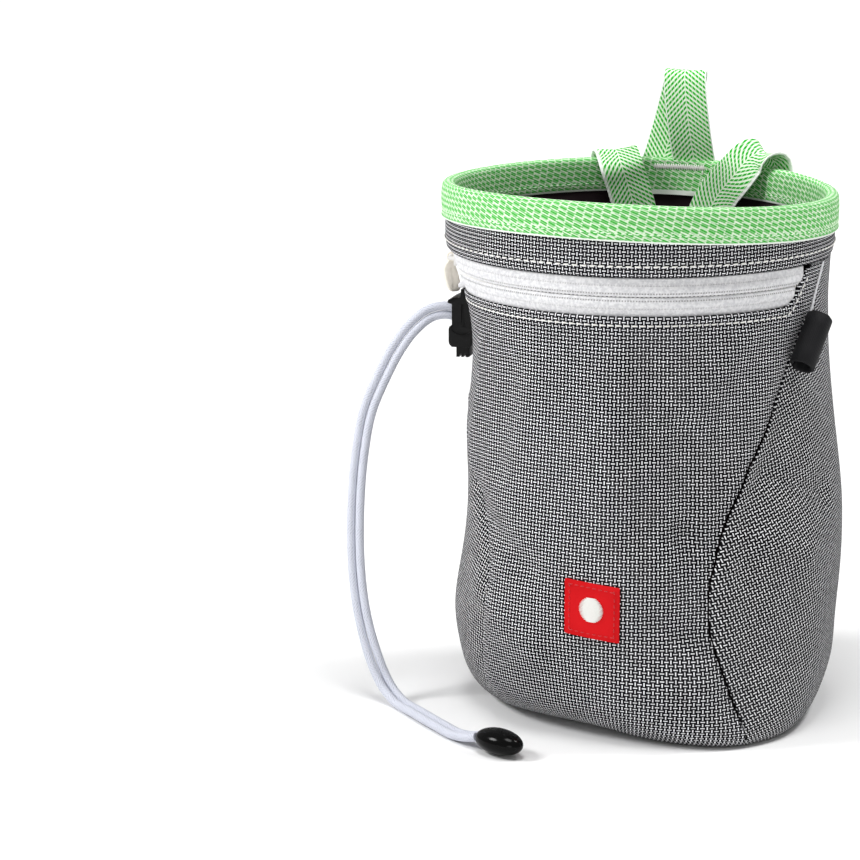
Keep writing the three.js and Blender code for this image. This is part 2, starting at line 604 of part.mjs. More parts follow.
const LINING_FOOT = BASE_WALL + CLEAR;
const LINING_SHOULDER = 0.93;     // share of BAND_FOOT where the lining turns in under the band
function lining() {
  const rises = [...evenSteps(0, 1, 9).map((share) => share ** ROW_CROWDING), LINING_SHOULDER, 1];
  const rows = rises.length;
  const sides = 40;
  const angles = Array.from({ length: sides }, (_, i) => i * 360 / sides);
  const tuck = (angle) => rimTop(angle) - WALL - 2 * CLEAR;
  const wall = (extra) => Array.from({ length: rows + 2 }, (_, j) => angles.map((angle) => {
    if (j > rows - 1) {
      const top = j === rows ? rimTop(angle) - BINDING_LEG - CLEAR : tuck(angle);
      return polar(angle, LINING_RADIUS - extra, top);
    }
    const height = mix(PANEL_FOOT, BAND_FOOT, rises[j]);
    const slack = LINING_SLACK * (1 - rises[j]);
    const point = bodyPoint(angle, height, LINING_INSET + slack + extra, formRadius);
    point.z = Math.max(point.z, LINING_FOOT + extra);
    return point;
  }));
  const outer = wall(0);
  const inner = wall(WALL);
  const maker = solidMaker();
  const indexOuter = outer.map((row) => row.map(maker.add));
  const indexInner = inner.map((row) => row.map(maker.add));
  const top = outer.length - 1;
  const under = maker.add(new THREE.Vector3(0, 0, LINING_FOOT));
  const over = maker.add(new THREE.Vector3(0, 0, LINING_FOOT + WALL));
  for (let i = 0; i < sides; i += 1) {
    const n = (i + 1) % sides;
    for (let j = 0; j < top; j += 1) {
      maker.quad(indexOuter[j][i], indexOuter[j][n], indexOuter[j + 1][n], indexOuter[j + 1][i]);
      maker.quad(indexInner[j][i], indexInner[j + 1][i], indexInner[j + 1][n], indexInner[j][n]);
    }
    maker.quad(indexOuter[top][i], indexOuter[top][n], indexInner[top][n], indexInner[top][i]);
    maker.faces.push([under, indexOuter[0][n], indexOuter[0][i]]);
    maker.faces.push([over, indexInner[0][i], indexInner[0][n]]);
  }
  return maker.finish();
}
addPiece('lining', lining(), 0x1c1316);

// Zip

const TAPE_INSET = CLEAR;
const TAPE_END = 1.2;             // least height of a tape where it ends
function zipTape(lowerEdge, upperEdge) {
  const angles = pocketAngles.filter((angle) => upperEdge - lowerEdge(angle) > TAPE_END);
  const grid = (inset) => [lowerEdge, () => upperEdge].map((edge) => (
    angles.map((angle) => bodyPoint(angle, edge(angle), inset).setZ(edge(angle)))));
  return sheetSolid(grid(TAPE_INSET), grid(TAPE_INSET + WALL));
}
const overPocket = (angle) => pocketEdge(angle) + 3 * CLEAR;
const overSlit = (angle) => Math.max(ZIP_SLIT + CLEAR / 2, overPocket(angle));
addPiece('zip_tape_lower', zipTape(overPocket, ZIP_SLIT - CLEAR / 2), WHITE, 0.6);
addPiece('zip_tape_upper', zipTape(overSlit, BAND_FOOT - CLEAR), WHITE, 0.6);

// Slider: a plate on the slit, and a bridge over it that the pull's ring goes round.

const sliderHalf = SLIDER_TALL / 2;
const sliderSeat = flatSeat(SLIDER_ANGLE, SLIDER_LONG, ZIP_SLIT - sliderHalf, ZIP_SLIT + sliderHalf);
const ringReach = RING_HOLE + RING_BAR;
const sliderOrigin = polar(SLIDER_ANGLE, sliderSeat, ZIP_SLIT);
const hingeReach = SLIDER_PLATE + CLEAR + ringReach;
function zipSlider() {
  const plate = blockAt(SLIDER_ANGLE, sliderOrigin, [
    [0, -sliderHalf], [SLIDER_PLATE, -sliderHalf + CLEAR], [SLIDER_PLATE, sliderHalf - CLEAR],
    [0, sliderHalf]], SLIDER_LONG);
  const half = BRIDGE_BAR / 2;
  const bar = blockAt(SLIDER_ANGLE, sliderOrigin, [
    [hingeReach - half, -half], [hingeReach + half, -half], [hingeReach + half, half],
    [hingeReach - half, half]], BRIDGE_LONG);
  const posts = [-1, 1].map((side) => {
    const foot = sliderOrigin.clone()
      .addScaledVector(sideways(SLIDER_ANGLE), side * (BRIDGE_LONG - BRIDGE_BAR) / 2);
    return blockAt(SLIDER_ANGLE, foot, [
      [SLIDER_PLATE / 2, -half * 1.5], [hingeReach + half, -half], [hingeReach + half, half],
      [SLIDER_PLATE / 2, half * 1.5]], BRIDGE_BAR);
  });
  return joined([plate, bar, ...posts]);
}
addPiece('zip_slider', zipSlider(), WHITE, 0.35);

// Pull: a ring round the bridge's bar and a flat tab that hangs from it.

function zipPull() {
  const hinge = sliderOrigin.clone().addScaledVector(outward(SLIDER_ANGLE), hingeReach);
  const across = sideways(SLIDER_ANGLE);
  const out = outward(SLIDER_ANGLE);
  const ringPoint = (turn, radius, shift) => hinge.clone().addScaledVector(across, shift)
    .addScaledVector(out, radius * Math.cos(turn)).addScaledVector(UP, radius * Math.sin(turn));
  const ring = sweptSolid(Array.from({ length: RING_STEPS }, (_, i) => {
    const turn = i * 2 * Math.PI / RING_STEPS;
    return [[RING_HOLE, -1], [ringReach, -1], [ringReach, 1], [RING_HOLE, 1]].map(([radius, side]) => (
      ringPoint(turn, radius, side * RING_BAR / 2)));
  }), true);
  const turn = radians(PULL_TWIST);
  const wide = across.clone().multiplyScalar(Math.cos(turn)).addScaledVector(out, Math.sin(turn));
  const face = out.clone().multiplyScalar(Math.cos(turn)).addScaledVector(across, -Math.sin(turn));
  const stations = PULL_PROFILE.map(({ down, wide: share, thick, out: lean }) => {
    const middle = hinge.clone().addScaledVector(UP, -RING_HOLE - down * PULL_LONG)
      .addScaledVector(out, lean * PULL_THICK);
    return [[-1, -0.5], [-0.8, -1], [0.8, -1], [1, -0.5], [1, 0.5], [0.8, 1], [-0.8, 1], [-1, 0.5]].map(
      ([side, layer]) => middle.clone().addScaledVector(wide, side * share * PULL_WIDE / 2)
        .addScaledVector(face, layer * thick * PULL_THICK / 2));
  });
  return joined([ring, sweptSolid(stations)]);
}
addPiece('zip_pull', zipPull(), 0xd9d4c7, 0.45);

// Cord lock on the left seam: a housing with a spring button in its foot

const lockTop = LOCK_FOOT + LOCK_TALL + LOCK_LUG_RISE;
const lockSeat = flatSeat(LOCK_ANGLE, LOCK_WIDE, LOCK_FOOT, lockTop) + CLEAR;
const lockOrigin = polar(LOCK_ANGLE, lockSeat, LOCK_FOOT);
function lockBlock(outline, width) {
  const sized = outline.map(([out, up]) => [out * LOCK_DEEP, up * LOCK_TALL]);
  return blockAt(LOCK_ANGLE, lockOrigin, sized, width);
}
function lockHousing() {
  const top = 1 + LOCK_LUG_RISE / LOCK_TALL;
  const shell = lockBlock([
    ...LOCK_FRONT, [LOCK_LUG_DEEP, top], [LOCK_LUG_BACK, top], ...LOCK_BACK], LOCK_WIDE);
  const wall = LOCK_WALL / LOCK_DEEP;
  const roof = LOCK_CAVITY / LOCK_TALL;
  const hollow = lockBlock([[wall, -0.1], [LOCK_EXIT_DEEP - wall, -0.1], [LOCK_EXIT_DEEP - wall, roof],
    [wall, roof]], LOCK_WIDE - 2 * LOCK_WALL);
  return cutFrom(shell, hollow);
}
function lockButton() {
  const near = LOCK_WALL + CLEAR;
  const far = LOCK_EXIT_DEEP * LOCK_DEEP - LOCK_WALL - CLEAR;
  const foot = -BUTTON_STROKE - 2 * CLEAR;
  const top = LOCK_CAVITY - BUTTON_STROKE - 2 * CLEAR;
  const deep = far - near;
  const notch = TOOTH_DEEP;
  const outline = [[near, foot]];
  for (const gap of TOOTH_GAPS) {
    const left = near + (gap - TOOTH_GAP_WIDE / 2) * deep;
    const right = near + (gap + TOOTH_GAP_WIDE / 2) * deep;
    outline.push([left, foot], [left, foot + notch], [right, foot + notch], [right, foot]);
  }
  outline.push([far, foot], [far, top], [near, top]);
  return blockAt(LOCK_ANGLE, lockOrigin, outline, LOCK_WIDE - 2 * (LOCK_WALL + CLEAR));
}
addPiece('cord_lock_body', lockHousing(), BLACK, 0.4);
addPiece('cord_lock_button', lockButton(), BLACK, 0.4);

// The tape that ties the lock's lug to the seam.
function lockStrap() {
  const foot = lockTop + CLEAR;
  const seat = flatSeat(LOCK_ANGLE, STRAP_WIDE, foot, foot + STRAP_RISE);
  const deep = LOCK_LUG_DEEP * LOCK_DEEP;
  return blockAt(LOCK_ANGLE, polar(LOCK_ANGLE, seat, foot), [
    [0, 0], [deep, 0], [deep, STRAP_RISE / 2], [deep / 2, STRAP_RISE], [0, STRAP_RISE]], STRAP_WIDE);
}
addPiece('lock_strap', lockStrap(), WHITE);

// Draw cord: two strands side by side along one route, and the bead on their end

const routePoints = CORD_ROUTE.map((point) => new THREE.Vector3(...point));
const route = new THREE.CatmullRomCurve3(routePoints, false, 'centripetal');
// The strands lie one over the other where they leave the lock and side by side on the floor.
function strandPoint(share, side) {
  const along = route.getTangentAt(share);
  const guide = sideways(LOCK_ANGLE).negate().lerp(UP.clone().negate(), smooth(0.5, 0.8, share));
  const offset = along.cross(guide).normalize();
  return route.getPointAt(share).addScaledVector(offset, side * CORD_SPACING / 2);
}
function cordStrand(side) {
  const points = Array.from({ length: CORD_STEPS + 1 }, (_, i) => strandPoint(i / CORD_STEPS, side));
  const shape = new THREE.Shape(Array.from({ length: CORD_SIDES }, (_, i) => {
    const turn = i * 2 * Math.PI / CORD_SIDES;
    return new THREE.Vector2(Math.cos(turn), Math.sin(turn)).multiplyScalar(CORD_DIAMETER / 2);
  }));
  const tube = new THREE.ExtrudeGeometry(shape, {
    steps: CORD_STEPS, bevelEnabled: false,
    extrudePath: new THREE.CatmullRomCurve3(points, false, 'centripetal'),
  });
  return cleaned(tube);
}
addPiece('draw_cord_a', cordStrand(-1), 0xd5dbe8, 0.7);
addPiece('draw_cord_b', cordStrand(1), 0xd5dbe8, 0.7);

function cordEnd() {
  const end = route.getPointAt(1);
  const along = route.getTangentAt(1).setZ(0).normalize();
  const seat = Math.sqrt(1 - (CORD_SPACING / BEAD_WIDE) ** 2) * BEAD_LONG / 2 + CLEAR + CORD_DIAMETER / 8;
  const middle = end.clone().addScaledVector(along, seat).setZ(BEAD_TALL / 2);
  const bead = new THREE.SphereGeometry(1, 16, 12);
  bead.rotateZ(Math.PI / 2);
  bead.scale(BEAD_LONG / 2, BEAD_TALL / 2, BEAD_WIDE / 2);
  bead.rotateX(Math.PI / 2);
  bead.rotateZ(Math.atan2(along.y, along.x));
  bead.translate(middle.x, middle.y, middle.z);
  return cleaned(bead);
}
addPiece('cord_end', cordEnd(), BLACK, 0.25);

// Label on the front panel

function label() {
  const steps = 4;
  const grid = (inset) => Array.from({ length: steps + 1 }, (_, j) => (
    Array.from({ length: steps + 1 }, (_unused, i) => {
      const across = (i / steps - 0.5) * LABEL_SIDE;
      const up = (j / steps - 0.5) * LABEL_SIDE + across * Math.tan(radians(LABEL_SKEW));
      const turn = toDegrees(across / bodyRadius(LABEL_ANGLE, LABEL_LEVEL));
      return bodyPoint(LABEL_ANGLE + turn, LABEL_LEVEL + up, inset);
    })));
  return sheetSolid(grid(-CLEAR - LABEL_THICK), grid(-CLEAR));
}
addPiece('label', label(), 0xd01418);

// Brush loop: a short tube of webbing that stands on the right seam

function brushLoop() {
  const seamPoint = (height) => {
    const angle = seamRight(height);
    return polar(angle, formRadius(angle, height) - BRUSH_LOOP_SUNK, height);
  };
  const low = seamPoint(BRUSH_LOOP_LEVEL - BRUSH_LOOP_SEWN / 2);
  const high = seamPoint(BRUSH_LOOP_LEVEL + BRUSH_LOOP_SEWN / 2);
  const middle = low.clone().add(high).multiplyScalar(0.5);
  const along = high.clone().sub(low).normalize();
  const out = outward(seamRight(BRUSH_LOOP_LEVEL));
  out.addScaledVector(along, -out.dot(along)).normalize();
  const across = along.clone().cross(out);
  const outline = [];
  const arc = (shrink, from, to) => {
    for (let i = 0; i <= BRUSH_LOOP_STEPS; i += 1) {
      const turn = radians(mix(from, to, i / BRUSH_LOOP_STEPS));
      outline.push([BRUSH_LOOP_REACH / 2 - (BRUSH_LOOP_REACH / 2 - shrink) * Math.cos(turn),
        (BRUSH_LOOP_WIDE / 2 - shrink) * Math.sin(turn)]);
    }
  };
  arc(0, BRUSH_SLIT, 360 - BRUSH_SLIT);
  arc(BRUSH_WEBBING, 360 - BRUSH_SLIT, BRUSH_SLIT);
  const ends = [-1, 1].map((end) => outline.map(([reach, side]) => middle.clone()
    .addScaledVector(along, end * BRUSH_LOOP_LONG / 2).addScaledVector(out, reach)
    .addScaledVector(across, side)));
  return outlinePrism(ends[0], ends[1], outline);
}
addPiece('brush_loop', brushLoop(), BLACK);

// Belt

const sideReach = RIM_THICK / 2 + CLEAR + WEBBING_THICK / 2;
const halfTurn = (radius) => toDegrees(WEBBING_WIDE / 2 / radius);
// Radius of the belt's middle inside the bag, where its edges touch the lining.
function insideRadius(angle, height) {
  const reach = halfTurn(BODY_RADIUS);
  const wall = Math.min(BINDING_INSIDE, ...[-reach, 0, reach].map((turn) => (
    bodyRadius(angle + turn, Math.min(height, BAND_FOOT)) - LINING_INSET - WALL)));
  return Math.sqrt((wall - 4 * CLEAR) ** 2 - (WEBBING_WIDE / 2) ** 2) - WEBBING_THICK / 2;
}
function outsideRadius(angle, height) {
  const drop = rimTop(angle) - height;
  const low = smooth(BINDING_LEG + WEBBING_WIDE * 0.25, BINDING_LEG + WEBBING_WIDE * 0.6, drop);
  const body = Math.max(...[0, 0.5].map((share) => bodyRadius(angle, height + share * WEBBING_WIDE)));
  return mix(RIM_MIDDLE + sideReach, body + CLEAR + WEBBING_THICK / 2, low);
}
function beltPoint({ angle, side, drop, lift = 0 }) {
  const deep = drop * (side < 0 ? BELT_TAIL : KEEPER_DROP);
  const height = rimTop(angle) + lift * WEBBING_THICK - deep;
  let radius = RIM_MIDDLE + side * sideReach;
  if (side <= -1) radius = insideRadius(angle, height);
  if (side >= 1) radius = outsideRadius(angle, height);
  return polar(angle, radius, height);
}
function belt() {
  const middle = new THREE.CatmullRomCurve3(BELT_RUN.map(beltPoint), false, 'centripetal');
  const rows = BELT_RUN.length - 1;
  const stations = Array.from({ length: rows * BELT_STEPS + 1 }, (_, i) => {
    const share = i / (rows * BELT_STEPS);
    const row = Math.min(Math.floor(share * rows), rows - 1);
    const part = share * rows - row;
    const near = (step) => BELT_RUN[THREE.MathUtils.clamp(row + step, 0, rows)];
    const between = (column) => (
      cubic(near(-1)[column], near(0)[column], near(1)[column], near(2)[column], part));
    const lean = radians(between('lean'));
    const along = middle.getTangent(share);
    const across = sideways(between('angle')).multiplyScalar(Math.cos(lean)).setZ(Math.sin(lean));
    across.addScaledVector(along, -across.dot(along)).normalize();
    return { middle: middle.getPoint(share), across, face: along.clone().cross(across) };
  });
  return webbingStrip(stations, WEBBING_WIDE, WEBBING_THICK);
}
addPiece('belt', belt(), GREEN);

// Keeper: a short upright strip over the belt, sewn down above and below it.

function beltKeeper() {
  const middleHeight = rimTop(KEEPER_ANGLE) - KEEPER_DROP;
  const beltRadius = outsideRadius(KEEPER_ANGLE, middleHeight);
  const half = WEBBING_WIDE / 2;
  const stations = KEEPER_PROFILE.map(({ up, over }) => {
    const height = middleHeight + Math.sign(up) * half * Math.min(Math.abs(up), 1)
      + Math.sign(up) * Math.max(Math.abs(up) - 1, 0) * KEEPER_REACH;
    const seat = bodyRadius(KEEPER_ANGLE, height) + CLEAR + WEBBING_THICK / 2;
    const lifted = beltRadius + WEBBING_THICK + CLEAR;
    return {
      middle: polar(KEEPER_ANGLE, mix(seat, lifted, over), height),
      across: sideways(KEEPER_ANGLE),
      face: outward(KEEPER_ANGLE),
    };
  });
  return webbingStrip(stations, KEEPER_WIDE, WEBBING_THICK);
}
addPiece('belt_keeper', beltKeeper(), GREEN);

// Hang loop: webbing folded over, its two feet on the rim's fold, one leaning each way.

function hangLoop() {
  const across = sideways(HANG_LOOP_ANGLE);
  const out = outward(HANG_LOOP_ANGLE);
  const reach = toDegrees(WEBBING_WIDE / RIM_MIDDLE);
  const foot = Math.max(...[-1, 0, 1].map((side) => rimTop(HANG_LOOP_ANGLE + side * reach)))
    + CLEAR;
  const bow = (HANG_LOOP_OPEN + WEBBING_THICK) / 2;
  const points = HANG_LOOP_PROFILE.map(({ out: reach, up, shift }) => (
    polar(HANG_LOOP_ANGLE, RIM_MIDDLE, foot + up * HANG_LOOP_RISE)
      .addScaledVector(out, reach * bow).addScaledVector(across, shift * WEBBING_WIDE)));
  const curve = new THREE.CatmullRomCurve3(points, false, 'centripetal');
  const steps = 22;
  const stations = Array.from({ length: steps + 1 }, (_, i) => {
    const along = curve.getTangent(i / steps);
    return { middle: curve.getPoint(i / steps), across, face: along.cross(across).normalize() };
  });
  return webbingStrip(stations, WEBBING_WIDE, WEBBING_THICK);
}
addPiece('hang_loop', hangLoop(), GREEN);

export default model;
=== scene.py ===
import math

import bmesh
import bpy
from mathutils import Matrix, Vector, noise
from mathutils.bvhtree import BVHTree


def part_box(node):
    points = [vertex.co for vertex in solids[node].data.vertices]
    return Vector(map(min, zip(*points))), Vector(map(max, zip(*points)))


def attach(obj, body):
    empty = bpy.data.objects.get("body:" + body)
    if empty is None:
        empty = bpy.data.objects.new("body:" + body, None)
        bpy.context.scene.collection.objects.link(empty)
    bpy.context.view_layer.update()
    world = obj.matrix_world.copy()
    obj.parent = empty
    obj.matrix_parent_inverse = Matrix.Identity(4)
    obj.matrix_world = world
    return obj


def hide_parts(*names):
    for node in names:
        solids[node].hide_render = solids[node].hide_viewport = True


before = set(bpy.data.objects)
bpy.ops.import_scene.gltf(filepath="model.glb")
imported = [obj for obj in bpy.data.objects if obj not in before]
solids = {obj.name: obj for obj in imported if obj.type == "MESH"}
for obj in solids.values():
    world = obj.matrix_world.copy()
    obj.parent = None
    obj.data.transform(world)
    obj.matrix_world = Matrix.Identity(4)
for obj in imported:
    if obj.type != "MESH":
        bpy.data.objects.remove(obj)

# %% [markdown]
# # A climbing chalk bag
# The bag is a soft, round sack of coarse black and white cloth with a stiff ring of green webbing
# round its mouth. A zip closes its front pocket, a cord with a spring lock hangs at its left, and a
# belt is tucked in over the back of the rim. The measured solids are already loaded, in metres,
# with +Z up and the front towards -Y. Every piece below takes its place from them, so the lesson is
# about turning plain solids into cloth, webbing, cord and moulded plastic.

MM = 0.001
UP = Vector((0, 0, 1))
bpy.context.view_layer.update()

# %% [markdown]
# Directions round a round bag are easiest to give as angles. Zero is the front, and the right side
# of the bag, seen from the front, is at +90 degrees. Two small functions turn such an angle into a
# point and into a direction, and the rest of the lesson speaks in angles and heights.

# %% Angles round the bag
def polar(angle, radius, height):
    """A point at an angle in degrees, a radius and a height, both in metres."""
    turn = math.radians(angle)
    return Vector((radius * math.sin(turn), -radius * math.cos(turn), height))


def outward(angle):
    return polar(angle, 1, 0)


def sideways(angle):
    return UP.cross(outward(angle))


def angle_of(point):
    return math.degrees(math.atan2(point.x, -point.y))


def turned(angle, middle):
    """The same direction as angle, written within half a turn of middle."""
    return middle + (angle - middle + 180) % 360 - 180


def smooth(start, end, value):
    """Rises gently from 0 to 1 while value goes from start to end."""
    share = min(max((value - start) / (end - start), 0), 1)
    return share * share * (3 - 2 * share)


def bell(distance, width):
    return math.exp(-((distance / width) ** 2))


# %% [markdown]
# The camera stands where the photographer stood: 17 degrees to the right of the bag's front and a
# little above it, with a long lens, so that the rim shows as a flat oval and the bag's sides stay
# nearly parallel. It is built from the direction that it looks in, which is plainer than three turns.

# %% Camera
CAMERA_PLACE = Vector((321.609, -1051.935, 326)) * MM
CAMERA_LOOK = Vector((-0.34491, 0.91492, -0.20964))
LENS = 138.5


def add_camera():
    bpy.ops.object.camera_add(location=CAMERA_PLACE)
    camera = bpy.context.object
    camera.name = "photo_camera"
    camera.rotation_euler = CAMERA_LOOK.to_track_quat("-Z", "Y").to_euler()
    camera.data.lens = LENS
    camera.data.sensor_width = 36
    camera.data.clip_start = 0.05
    bpy.context.scene.camera = camera


add_camera()
print("Camera at", [round(part, 3) for part in CAMERA_PLACE])

# %% [markdown]
# Edit mode works on whatever is selected, and the loaded solids start out selected. So one function
# picks a single piece, and another runs a few steps in edit mode with all of the piece selected.
# Modifiers are applied straight away, because the finished mesh is what is kept.

# %% Picking and finishing a piece
def pick(piece):
    bpy.ops.object.select_all(action="DESELECT")
    piece.select_set(True)
    bpy.context.view_layer.objects.active = piece
    return piece


def in_edit_mode(piece, *steps):
    """Runs each step in edit mode, with the whole piece selected before each."""
    pick(piece)
    bpy.ops.object.mode_set(mode="EDIT")
    for step in steps:
        bpy.ops.mesh.select_all(action="SELECT")
        step()
    bpy.ops.object.mode_set(mode="OBJECT")
    return piece


def finish_with(piece, kind, **settings):
    """Adds a modifier of a kind, sets it up and applies it."""
    pick(piece)
    modifier = piece.modifiers.new(kind.lower(), kind)
    for name, value in settings.items():
        setattr(modifier, name, value)
    bpy.ops.object.modifier_apply(modifier=modifier.name)
    return piece


def smooth_shaded(piece, degrees=40):
    pick(piece)
    bpy.ops.object.shade_smooth_by_angle(angle=math.radians(degrees))
    return piece


def settle(piece):
    """Puts a piece's place into its mesh, so that the object itself sits at the origin."""
    pick(piece)
    bpy.ops.object.transform_apply(location=True, rotation=True, scale=True)
    return piece


def object_of(mesh, name, finish=None):
    """One object, with a finish or none, from a bmesh that isn't needed afterwards."""
    made = bpy.data.meshes.new(name)
    mesh.to_mesh(made)
    mesh.free()
    if finish is not None:
        made.materials.append(finish)
    piece = bpy.data.objects.new(name, made)
    bpy.context.collection.objects.link(piece)
    return piece


# %% [markdown]
# A loaded solid is a heap of loose triangles. Merging their shared corners and pairing the triangles
# into quads gives back the clean grid that subdivision needs. The sharp edges of the cloth's cut
# sides get a crease, or the subdivision would shrink the panels away from each other.

# %% Copying a solid as a clean grid
MERGE = 0.004 * MM


def clean_copy(node, name):
    piece = bpy.data.objects.new(name, solids[node].data.copy())
    bpy.context.collection.objects.link(piece)
    piece.data.materials.clear()
    return in_edit_mode(
        piece,
        lambda: bpy.ops.mesh.remove_doubles(threshold=MERGE),
        lambda: bpy.ops.mesh.tris_convert_to_quads(face_threshold=math.pi, shape_threshold=math.pi),
    )


def crease_sharp_edges(piece, degrees=50, crease=0.9):
    mesh = bmesh.new()
    mesh.from_mesh(piece.data)
    layer = mesh.edges.layers.float.get("crease_edge") or mesh.edges.layers.float.new("crease_edge")
    for edge in mesh.edges:
        if len(edge.link_faces) == 2 and edge.calc_face_angle() > math.radians(degrees):
            edge[layer] = crease
    mesh.to_mesh(piece.data)
    mesh.free()


def subdivided(piece, levels):
    return finish_with(piece, "SUBSURF", levels=levels, render_levels=levels)


def cut_level(height):
    return lambda: bpy.ops.mesh.bisect(plane_co=(0, 0, height), plane_no=(0, 0, 1))


def soft_copy(node, name, cuts=(), degrees=50, crease=0.9, levels=2):
    """A copy of a solid with extra loops at the heights in cuts, creased and subdivided."""
    piece = clean_copy(node, name)
    if cuts:
        in_edit_mode(piece, *(cut_level(height) for height in cuts))
    crease_sharp_edges(piece, degrees, crease)
    return subdivided(piece, levels)


# %% [markdown]
# Handing a piece over says which body it moves with and which solids it stands for, and hides those
# solids. Every piece gets both in one line.

# %% Handing a piece over
def hand_over(piece, slot, *nodes, body="bag"):
    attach(piece, body)
    if nodes:
        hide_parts(*nodes)
    return piece


# %% [markdown]
# # Finishes
# A weave is too fine to model thread by thread, so it is drawn by the material from each piece's own
# map. The maps are in millimetres, so a pattern is described with the real size of its threads. The
# sums behind a pattern are short, but nodes make them long, so a small helper writes them as plain
# operations on sockets.

# %% Sums in a material
class Pattern:
    """Writes a material's sums: every method returns the socket of a new node."""

    def __init__(self, name):
        self.material = bpy.data.materials.new(name)
        self.material.use_nodes = True
        self.tree = self.material.node_tree
        self.shader = self.tree.nodes["Principled BSDF"]

    def node(self, kind, **settings):
        made = self.tree.nodes.new(kind)
        for name, value in settings.items():
            setattr(made, name, value)
        return made

    def link(self, value, socket):
        if isinstance(value, bpy.types.NodeSocket):
            self.tree.links.new(value, socket)
        else:
            socket.default_value = value

    def math(self, operation, *values):
        made = self.node("ShaderNodeMath", operation=operation)
        for value, socket in zip(values, made.inputs):
            self.link(value, socket)
        return made.outputs[0]

    def add(self, a, b):
        return self.math("ADD", a, b)

    def less(self, a, b):
        return self.math("SUBTRACT", a, b)

    def times(self, a, b):
        return self.math("MULTIPLY", a, b)

    def off_centre(self, value):
        """How far value is from the middle of its unit step, from 0 to 0.5."""
        return self.math("ABSOLUTE", self.less(self.math("FRACT", value), 0.5))

    def step(self, value, start, end):
        """A soft step: 0 before start and 1 after end, or the other way round."""
        made = self.node("ShaderNodeMapRange", interpolation_type="SMOOTHSTEP")
        for number, part in zip((0, 1, 2), (value, start, end)):
            self.link(part, made.inputs[number])
        return made.outputs[0]

    def mix(self, share, a, b):
        """A number between a and b."""
        return self.add(self.times(a, self.less(1, share)), self.times(b, share))

    def colour(self, share, a, b):
        made = self.node("ShaderNodeMix", data_type="RGBA")
        self.link(share, made.inputs[0])
        self.link(a, made.inputs[6])
        self.link(b, made.inputs[7])
        return made.outputs[2]

    def map_parts(self, name="UVMap"):
        """The piece's own map, in millimetres along and across."""
        found = self.node("ShaderNodeUVMap", uv_map=name)
        parts = self.node("ShaderNodeSeparateXYZ")
        self.link(found.outputs[0], parts.inputs[0])
        return parts.outputs[0], parts.outputs[1]

    def place(self):
        return self.node("ShaderNodeTexCoord").outputs["Object"]

    def cloud(self, scale, detail=2.0, vector=None):
        """Soft irregular noise from 0 to 1. scale counts its lumps per metre."""
        made = self.node("ShaderNodeTexNoise")
        self.link(vector if vector is not None else self.place(), made.inputs["Vector"])
        made.inputs["Scale"].default_value = scale
        made.inputs["Detail"].default_value = detail
        return made.outputs[0]

    def chance(self, along, across):
        """A number that differs from cell to cell, from whole numbers along and across."""
        joined = self.node("ShaderNodeCombineXYZ")
        self.link(along, joined.inputs[0])
        self.link(across, joined.inputs[1])
        made = self.node("ShaderNodeTexWhiteNoise", noise_dimensions="2D")
        self.link(joined.outputs[0], made.inputs["Vector"])
        return made.outputs["Value"]

    def bump(self, height, distance, strength=1.0):
        made = self.node("ShaderNodeBump")
        made.inputs["Strength"].default_value = strength
        made.inputs["Distance"].default_value = distance
        self.link(height, made.inputs["Height"])
        self.link(made.outputs[0], self.shader.inputs["Normal"])

    def finish(self, colour=None, **sockets):
        if colour is not None:
            self.link(colour, self.shader.inputs["Base Color"])
        for name, value in sockets.items():
            self.link(value, self.shader.inputs[name.replace("_", " ")])
        return self.material


# %% [markdown]
# The bag's cloth is a plain weave of flat black yarns with a white thread down the middle of each.
# Where an upright yarn is on top the white thread shows as an upright dash, and where a level yarn
# is on top it shows as a level one, so the cells of a checkerboard take turns. The crossing yarns
# also swell, which the bump follows.

# %% The bag's cloth
YARN_STEP = 1.26          # millimetres from one yarn to the next
YARN_BLACK = (0.004, 0.004, 0.005, 1)
YARN_WORN = (0.012, 0.012, 0.014, 1)
YARN_WHITE = (0.97, 0.97, 1.0, 1)


def bag_cloth(name, grain_degrees, white=YARN_WHITE, thread=0.115):
    """The coarse woven cloth, with its yarns turned by a few degrees."""
    pattern = Pattern(name)
    along, across = pattern.map_parts()
    cosine, sine = math.cos(math.radians(grain_degrees)), math.sin(math.radians(grain_degrees))
    column = pattern.times(
        pattern.add(pattern.times(along, cosine), pattern.times(across, sine)), 1 / YARN_STEP)
    row = pattern.times(
        pattern.less(pattern.times(across, cosine), pattern.times(along, sine)), 1 / YARN_STEP)
    cell = pattern.add(pattern.math("FLOOR", column), pattern.math("FLOOR", row))
    level_on_top = pattern.math("ABSOLUTE", pattern.math("FLOORED_MODULO", cell, 2.0))
    from_column, from_row = pattern.off_centre(column), pattern.off_centre(row)
    beside = pattern.mix(level_on_top, from_column, from_row)
    lengthways = pattern.mix(level_on_top, from_row, from_column)
    thread_shows = pattern.times(
        pattern.step(beside, thread + 0.06, thread - 0.02), pattern.step(lengthways, 0.51, 0.43))
    yarn = pattern.chance(pattern.math("FLOOR", column), pattern.math("FLOOR", row))
    shade = pattern.add(0.68, pattern.times(yarn, 0.32))
    swell = pattern.times(
        pattern.less(1, pattern.times(pattern.times(beside, beside), 2.6)),
        pattern.less(1, pattern.times(pattern.times(lengthways, lengthways), 1.6)))
    wear = pattern.step(pattern.cloud(22, 3), 0.35, 0.75)
    dark = pattern.colour(wear, YARN_BLACK, YARN_WORN)
    pattern.bump(swell, 0.22 * MM, 0.7)
    colour = pattern.colour(pattern.times(thread_shows, shade), dark, white)
    return pattern.finish(colour, Roughness=0.8, Specular_IOR_Level=0.04)


